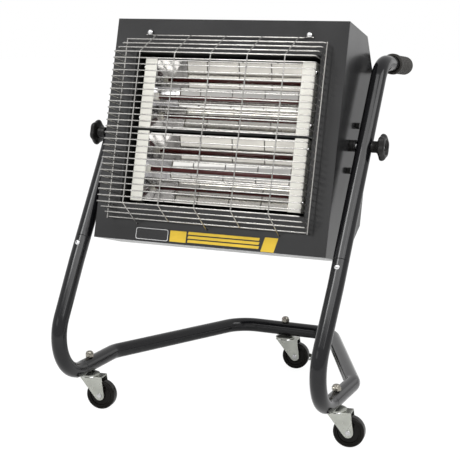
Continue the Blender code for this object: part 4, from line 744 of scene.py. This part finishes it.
def make_front():
    """The face with its blank badge and the plain yellow print along its foot."""
    soften("front_panel", COAT, "heater_head", width=0.00055, segments=3)
    face = HEAD @ at(0, FACE, 0) @ turn(math.pi / 2)
    badge_rise, line_rise, print_rise, eased = 0.0006, 0.0007, 0.00015, 0.00005
    bar_feet, bar_height = (-0.1782, -0.1718, -0.1654), 0.0044
    badge = rounded_rectangle(-0.125, -0.065, -0.1805, -0.1595, radius=0.004)
    make("blank_badge", [slab(badge, 0.0, badge_rise, eased)], face, BADGE, "heater_head")
    outer = rounded_rectangle(-0.1238, -0.0662, -0.1792, -0.1608, radius=0.0036)
    inner = rounded_rectangle(-0.1230, -0.0670, -0.1784, -0.1616, radius=0.0030)
    outline = band([(*point, line_rise) for point in outer],
                   [(*point, line_rise) for point in inner])
    make("blank_badge_outline", [outline], face, BADGE_LINE, "heater_head")
    blocks = [rounded_rectangle(-0.0630, -0.0345, -0.1790, -0.1612, radius=0.0008)]
    for low in bar_feet:
        blocks.append(rounded_rectangle(-0.0320, 0.0900, low, low + bar_height, radius=0.0004,
                                        lean=0.0012))
    blocks.append(rounded_rectangle(0.0940, 0.1160, -0.1818, -0.1592, radius=0.0006,
                                    lean=0.0055))
    make("yellow_print", [slab(block, 0.0, print_rise, eased) for block in blocks], face, YELLOW,
         "heater_head")


def make_casing():
    """The folded wrap, the two ends, the lamp tray and its divider."""
    soften("casing_wrap", COAT, "heater_head", width=0.0002, fold=0.0032)
    for side, _ in SIDES:
        soften("side_panel_" + side, COAT, "heater_head",
               width=0.0004, segments=3)
    soften("lamp_tray", TRAY, "heater_head", width=0.0003)
    soften("divider_bar", TRAY, "heater_head", width=0.0005)


# Lamp units


def trough_line(inset):
    """The trough's section in YZ, from its upper lip to its lower lip, set in from its outside."""
    upper_lip, lower_lip = 0.0035, 0.0015
    mouth = UNIT_HEIGHT / 2 - CLEARANCE
    upper = mouth - inset * math.hypot(1, UPPER_SLOPE)
    lower = mouth - inset * math.hypot(1, LOWER_SLOPE)
    depth = TROUGH_DEPTH - inset
    high, low = upper - depth * UPPER_SLOPE, depth * LOWER_SLOPE - lower
    return [(upper_lip, upper - upper_lip * UPPER_SLOPE), (depth, high),
            (depth - TROUGH_RIDGE, (high + low) / 2), (depth, low),
            (lower_lip, lower_lip * LOWER_SLOPE - lower)]


def make_trough(unit, here):
    """The reflector trough, the slanted foil at its two ends and the posts behind the lamp."""
    inside = rounded(trough_line(TROUGH_SHEET), TROUGH_BEND, steps=4)
    outline = inside + rounded(trough_line(0)[::-1], TROUGH_BEND, steps=4)
    half = UNIT_HALF_WIDTH - TROUGH_MARGIN
    make("reflector_%s_finished" % unit,
         [prism([(-half, *point) for point in outline], [(half, *point) for point in outline])],
         here, MIRROR, "heater_head", ("reflector_" + unit,))
    foil_gap, post_half_width, post_half_height, lamp_gap, back_gap = (
        0.0006, 0.0035, 0.005, 0.0048, 0.0015)
    near, far = UNIT_HALF_WIDTH - END_FOIL_INSET, half - foil_gap
    foils = []
    for hand in (-1, 1):
        first, second = [[(hand * (near + (far - near) * y / TROUGH_DEPTH + beyond), y, z)
                          for y, z in inside] for beyond in (0.0, END_FOIL)]
        points, faces = band(first, second)
        count = len(inside)
        foils.append((points, faces + [list(range(count)), list(range(count, 2 * count))]))
    make("reflector_ends_" + unit, foils, here, CRINKLE, "heater_head")
    posts = [box((hand * POST_X - post_half_width, LAMP_SETBACK + lamp_gap, -post_half_height),
                 (hand * POST_X + post_half_width, TROUGH_DEPTH - back_gap, post_half_height))
             for hand in (-1, 1)]
    ease(make("lamp_posts_" + unit, posts, here, STEEL, "heater_head"),
         width=0.0004)


def make_end_plate(unit, here, side, hand):
    """One white end plate, bent back along its outer edge, with its two screws."""
    inner, outer = UNIT_HALF_WIDTH - END_PLATE_INSET, UNIT_HALF_WIDTH
    bent_plate = [(inner, 0), (outer, 0), (outer, TROUGH_DEPTH), (outer - SHEET, TROUGH_DEPTH),
                  (outer - SHEET, SHEET), (inner, SHEET)]
    corner = rounded(bent_plate[:3], radius=0.0022, steps=5)[1:-1]
    hollow = rounded(bent_plate[3:], radius=0.0010, steps=4)[1:-1]
    outline = [bent_plate[0]] + corner + bent_plate[2:4] + hollow + [bent_plate[5]]
    rise = UNIT_HEIGHT / 2 - CLEARANCE
    plate = prism([(hand * x, y, -rise) for x, y in outline],
                  [(hand * x, y, rise) for x, y in outline])
    name = "end_plate_%s_%s" % (unit, side)
    ease(make(name + "_finished", [plate], here, ENAMEL, "heater_head",
              (name,)), width=0.00035)
    screw_y, screw_z, head_radius, head_rise, sunk = 0.0045, 0.042, 0.0031, 0.002, -0.0004
    head = rounded([(0, head_rise), (head_radius, head_rise), (head_radius, sunk), (0, sunk)],
                   radius=0.0009, steps=4)
    screws = [moved(lathe(head, sides=24), at(hand * outer, screw_y, height)
                    @ turn(about_y=hand * math.pi / 2)) for height in (screw_z, -screw_z)]
    make(name + "_screws", screws, here, SCREW, "heater_head")


def block_pair(across, half_size):
    """Two equal blocks, as far to the left as to the right."""
    x, y, z = half_size
    return [box((hand * across - x, -y, -z), (hand * across + x, y, z)) for hand in (-1, 1)]


def make_lamp(unit, here):
    """The ruby tube with its rounded ends, flat pinches and ceramic caps."""
    radius = LAMP_RADIUS
    glass = [(0, LAMP_NECK + radius), (0.0014, LAMP_NECK + 0.0033), (0.0026, LAMP_NECK + 0.0022),
             (0.0034, LAMP_NECK + 0.0010), (radius, LAMP_NECK)]
    glass += [(r, -h) for r, h in reversed(glass)]
    make("quartz_lamp_%s_finished" % unit, [lathe(glass, sides=40)],
         here @ turn(about_y=math.pi / 2), RUBY, "heater_head",
         ("quartz_lamp_" + unit,))
    pinches = block_pair(PINCH_X, half_size=(0.0045, 0.002, 0.0036))
    ease(make("lamp_pinches_" + unit, pinches, here, RUBY, "heater_head"),
         width=0.0008, segments=3)
    caps = block_pair(CAP_X, half_size=(0.004, 0.0045, 0.006))
    ease(make("lamp_caps_" + unit, caps, here, CERAMIC, "heater_head"),
         width=0.0012, segments=4)


def make_unit(unit, sign):
    """The trough, the end plates and the lamp of one unit."""
    here = HEAD @ at(0, UNIT_FRONT, OPENING_RISE + sign * UNIT_HALF_PITCH)
    make_trough(unit, here)
    for side, hand in SIDES:
        make_end_plate(unit, here, side, hand)
    make_lamp(unit, here @ at(0, LAMP_SETBACK, 0))


# Guard wires and screws


def wire(corners, radius, steps):
    """A round wire with smooth bends."""
    path = bent(corners, [radius] * (len(corners) - 2), steps)
    return sweep(path, WIRE_RADIUS, sides=12)


def guard_rows():
    """The (standoff, height) of each cross wire: the front, then the slopes over and under it."""
    rows = [(STANDOFF, LOW_ROW + index * ROW_PITCH) for index in range(2 * ROWS_EACH_WAY + 1)]
    slope_wires = 3
    for index in range(1, slope_wires + 1):
        share = index / (slope_wires + 1)
        rows.append((STANDOFF + (TOP_STANDOFF - STANDOFF) * share,
                     TOP_ROW + (TOP_HEIGHT - TOP_ROW) * share))
        rows.append((STANDOFF * (1 - share), LOW_ROW + (-FOOT_HEIGHT - LOW_ROW) * share))
    return rows


def make_guard():
    """The welded wire guard: cross wires, five front wires, two side rails and the hooked top."""
    rows = guard_rows()
    foot = FACE - CLEARANCE
    wires = []
    for standoff, height in rows:
        front = FACE - standoff
        wires.append(wire([(-GUARD_HALF_WIDTH, foot, height), (-GUARD_HALF_WIDTH, front, height),
                           (GUARD_HALF_WIDTH, front, height), (GUARD_HALF_WIDTH, foot, height)],
                          radius=0.004, steps=7))
    hook_y, hook_height = FACE - 0.0013, 0.1559
    hook_tip, hook_bend, top_end = 0.145, 0.1325, 0.1295
    corners = []
    for hand in (-1, 1):
        arm = [(hand * hook_tip, hook_y, hook_height), (hand * hook_bend, hook_y, hook_height),
               (hand * top_end, FACE - TOP_STANDOFF, TOP_HEIGHT)]
        corners += arm[::-hand]
    wires.append(wire(corners, radius=0.0015, steps=4))
    front = FACE - STANDOFF - WELD
    top = FACE - TOP_STANDOFF - WELD
    last_standoff, last_height = rows[-1]
    past_crest, foot_gap, foot_depth = 0.002, 0.003, 0.0015
    for index in range(-2, 3):
        across = index * FRONT_WIRE_PITCH
        knee = Vector((across, front, TOP_ROW))
        crest = Vector((across, top, TOP_HEIGHT))
        corners = [crest + (crest - knee).normalized() * past_crest, knee,
                   (across, front, LOW_ROW)]
        if index % 2 == 0:
            corners += [(across, FACE - foot_gap, -FOOT_HEIGHT),
                        (across, FACE + foot_depth, -FOOT_HEIGHT)]
        else:
            corners.append((across, FACE - last_standoff - WELD, last_height))
        wires.append(wire(corners, radius=0.003, steps=6))
    rail_y, overhang = FACE - 0.014, 0.0025
    for hand in (-1, 1):
        across = hand * (GUARD_HALF_WIDTH + WELD)
        wires.append(wire([(across, rail_y, last_height - overhang),
                           (across, rail_y, rows[-2][1] + overhang)], radius=0, steps=1))
    make("wire_guard_finished", wires, HEAD, WIRE, "heater_head", ("wire_guard",),
         sharp=60.0)
    screw_x, screw_z, under, foot = 0.138, 0.1592, 0.0026, -0.009
    for side, sign in SIDES:
        here = HEAD @ at(sign * screw_x, FACE, screw_z) @ turn(math.pi / 2)
        dome = [(0, under + 0.0042), (0.0014, under + 0.0041), (0.0030, under + 0.0035),
                (0.0042, under + 0.0023), (0.0048, under + 0.0009), (0.0049, under + 0.0003),
                (0.0047, under), (0.002, under), (0.002, foot), (0, foot)]
        make("guard_screw_%s_finished" % side, [lathe(dome, sides=32)], here, SCREW,
             "heater_head", ("guard_screw_" + side,))


# Back of the casing


def make_back():
    """Switches, cable gland, its lock nut and the terminal block."""
    for number in (1, 2):
        soften("switch_frame_%d" % number, PLASTIC, "heater_head",
               width=0.00035, segments=3)
        soften("switch_rocker_%d" % number, PLASTIC, "rocker_%d" % number,
               width=0.0005, segments=3)
    spot = HEAD @ at(-0.078, BACK, -0.062) @ turn(-math.pi / 2)
    ribs, rib_depth, ribbed_from = 9, 0.0005, 0.0115

    def ribbed(angle, radius):
        wave = rib_depth * (1 - abs(math.cos(ribs * angle)))
        return radius - wave if radius > ribbed_from else radius

    nose, bore, thread, root, pitch, foot = 0.0163, 0.0044, 0.01, 0.0096, 0.001, -0.009
    gland = [(bore, nose), (0.0080, nose), (0.0094, nose - 0.0004), (0.0108, nose - 0.0018),
             (0.0116, nose - 0.0040), (0.013, nose - 0.0056), (0.013, 0.0062), (0.0122, 0.0050),
             (0.0122, 0.0040), (0.013, 0.0032), (0.013, CLEARANCE), (thread, CLEARANCE)]
    height, thread_foot = -0.0002, -0.0085
    while height > thread_foot:
        gland += [(thread, height), (root, height - pitch / 2)]
        height -= pitch
    gland += [(thread, foot), (bore, foot)]
    make("cable_gland_finished", [lathe(gland, sides=108, closed=True, wave=ribbed)], spot,
         PLASTIC, "heater_head", ("cable_gland",))
    nut = [(0.0103, -0.0015), (0.0122, -0.0015), (0.013, -0.0021), (0.013, -0.0059),
           (0.0122, -0.0065), (0.0103, -0.0065)]
    round_within = 0.0112

    def nut_wave(angle, radius):
        return hexagon(angle, radius) if radius > round_within else radius

    make("gland_lock_nut_finished", [lathe(nut, sides=72, closed=True, wave=nut_wave)], spot,
         PLASTIC, "heater_head", ("gland_lock_nut",))
    soften("terminal_block", CERAMIC, "heater_head", width=0.0006, segments=3)
    screw_pitch, screw_y, screw_z = 0.0116, 0.0805 + 0.0022, 0.012
    head_radius, head_rise, sunk = 0.0022, 0.0006, -0.0015
    head_line = rounded([(0, head_rise), (head_radius, head_rise), (head_radius, sunk), (0, sunk)],
                        radius=0.0004, steps=2)
    heads = []
    for index in range(-2, 3):
        slot = box((-0.0021, -0.0003, 0.0005), (0.0021, 0.0003, 0.00075))
        head = lathe(head_line, sides=20)
        turned = at(index * screw_pitch, screw_y, screw_z) @ turn(math.pi / 2)
        heads += [moved(head, turned), moved(slot, turned)]
    make("terminal_screws", heads, HEAD, BRASS, "heater_head")


make_tubes()
make_castor("front_left", -BASE_HALF_WIDTH, CASTOR_Y, brake=False)
make_castor("front_right", BASE_HALF_WIDTH, CASTOR_Y, brake=False)
make_castor("rear", 0, REAR_Y, brake=True)
soften("brake_lever", ZINC, "brake", width=0.0004)
for which_side, which_sign in SIDES:
    make_pivot(which_side, which_sign)
make_casing()
make_front()
for which_unit, unit_sign in UNITS:
    make_unit(which_unit, unit_sign)
make_guard()
make_back()


# Floor, light and camera


def seen_directly(nodes, links):
    """1 for rays from the camera, and for those that glass sends on."""
    path = nodes.new("ShaderNodeLightPath")
    add = nodes.new("ShaderNodeMath")
    add.operation = "ADD"
    add.use_clamp = True
    links.new(path.outputs["Is Camera Ray"], add.inputs[0])
    links.new(path.outputs["Is Transmission Ray"], add.inputs[1])
    return add.outputs[0]


def make_floor():
    """A wide pale floor, near white from the camera, that keeps the object's faint shadow."""
    floor_radius, glow_strength, glow_share = 14.0, 1.08, 0.88
    mesh = bpy.data.meshes.new("studio_floor")
    shape = bmesh.new()
    bmesh.ops.create_circle(shape, cap_ends=True, segments=96, radius=floor_radius)
    shape.to_mesh(mesh)
    shape.free()
    floor = bpy.data.objects.new("studio_floor", mesh)
    bpy.context.scene.collection.objects.link(floor)
    material = bpy.data.materials.new("studio_floor")
    material.use_nodes = True
    nodes, links = material.node_tree.nodes, material.node_tree.links
    shader = nodes["Principled BSDF"]
    shader.inputs["Base Color"].default_value = (0.86, 0.86, 0.86, 1)
    shader.inputs["Roughness"].default_value = 0.9
    shader.inputs["Specular IOR Level"].default_value = 0.1
    glow = nodes.new("ShaderNodeEmission")
    glow.inputs["Strength"].default_value = glow_strength
    share = nodes.new("ShaderNodeMath")
    share.operation = "MULTIPLY"
    share.inputs[1].default_value = glow_share
    links.new(seen_directly(nodes, links), share.inputs[0])
    mix = nodes.new("ShaderNodeMixShader")
    links.new(share.outputs[0], mix.inputs["Fac"])
    links.new(shader.outputs["BSDF"], mix.inputs[1])
    links.new(glow.outputs["Emission"], mix.inputs[2])
    links.new(mix.outputs["Shader"], nodes["Material Output"].inputs["Surface"])
    mesh.materials.append(material)


def make_world():
    """A white background, and a softer even light on the object."""
    light_strength, background_strength = 0.72, 1.0
    world = bpy.data.worlds.new("studio")
    bpy.context.scene.world = world
    world.use_nodes = True
    nodes, links = world.node_tree.nodes, world.node_tree.links
    light = nodes["Background"]
    white = nodes.new("ShaderNodeBackground")
    for source, strength in ((light, light_strength), (white, background_strength)):
        source.inputs["Color"].default_value = (1, 1, 1, 1)
        source.inputs["Strength"].default_value = strength
    mix = nodes.new("ShaderNodeMixShader")
    links.new(seen_directly(nodes, links), mix.inputs["Fac"])
    links.new(light.outputs["Background"], mix.inputs[1])
    links.new(white.outputs["Background"], mix.inputs[2])
    links.new(mix.outputs["Shader"], nodes["World Output"].inputs["Surface"])


def soft_box(name, place, aim, width, height, power):
    """A rectangular lamp aimed at a point, its power in watts."""
    data = bpy.data.lights.new(name, "AREA")
    data.shape = "RECTANGLE"
    data.size = width
    data.size_y = height
    data.energy = power
    lamp = bpy.data.objects.new(name, data)
    bpy.context.scene.collection.objects.link(lamp)
    lamp.location = place
    lamp.rotation_mode = "QUATERNION"
    lamp.rotation_quaternion = (Vector(aim) - Vector(place)).to_track_quat("-Z", "Y")


def make_camera():
    """The photograph's viewing angle."""
    yaw, pitch, roll = math.radians(23.21), math.radians(10.44), math.radians(0.46)
    ahead = Vector((-math.sin(yaw) * math.cos(pitch), math.cos(yaw) * math.cos(pitch),
                    -math.sin(pitch)))
    level = Vector((math.cos(yaw), math.sin(yaw), 0))
    up = level.cross(ahead)
    right = level * math.cos(roll) + up * math.sin(roll)
    over = up * math.cos(roll) - level * math.sin(roll)
    data = bpy.data.cameras.new("photo_camera")
    data.sensor_width = 36.0
    data.lens = 94.01
    camera = bpy.data.objects.new("photo_camera", data)
    bpy.context.scene.collection.objects.link(camera)
    place = Vector((0.76956, -1.840415, 0.66847))
    camera.matrix_world = Matrix(((right.x, over.x, -ahead.x, place.x),
                                  (right.y, over.y, -ahead.y, place.y),
                                  (right.z, over.z, -ahead.z, place.z), (0, 0, 0, 1)))
    bpy.context.scene.camera = camera


make_floor()
make_world()
soft_box("sky_light", place=(0.15, -1.55, 2.5), aim=(0.15, -0.2, 0.45), width=3.2, height=1.15,
         power=33)
soft_box("left_light", place=(-0.68, -1.42, 2.18), aim=(0.15, -0.2, 0.45), width=0.6, height=0.8,
         power=11)
soft_box("right_light", place=(1.92, -0.5, 1.95), aim=(0.15, -0.1, 0.45), width=2.2, height=0.9,
         power=20)
soft_box("glow_light", place=(-0.95, -2.1, 1.3), aim=(0, 0, 0.5), width=1.1, height=0.66,
         power=2.2)
soft_box("back_light", place=(1.05, 2.1, 0.85), aim=(0, 0, 0.45), width=0.9, height=0.7,
         power=0.9)
make_camera()
bpy.context.scene.view_settings.view_transform = "Standard"
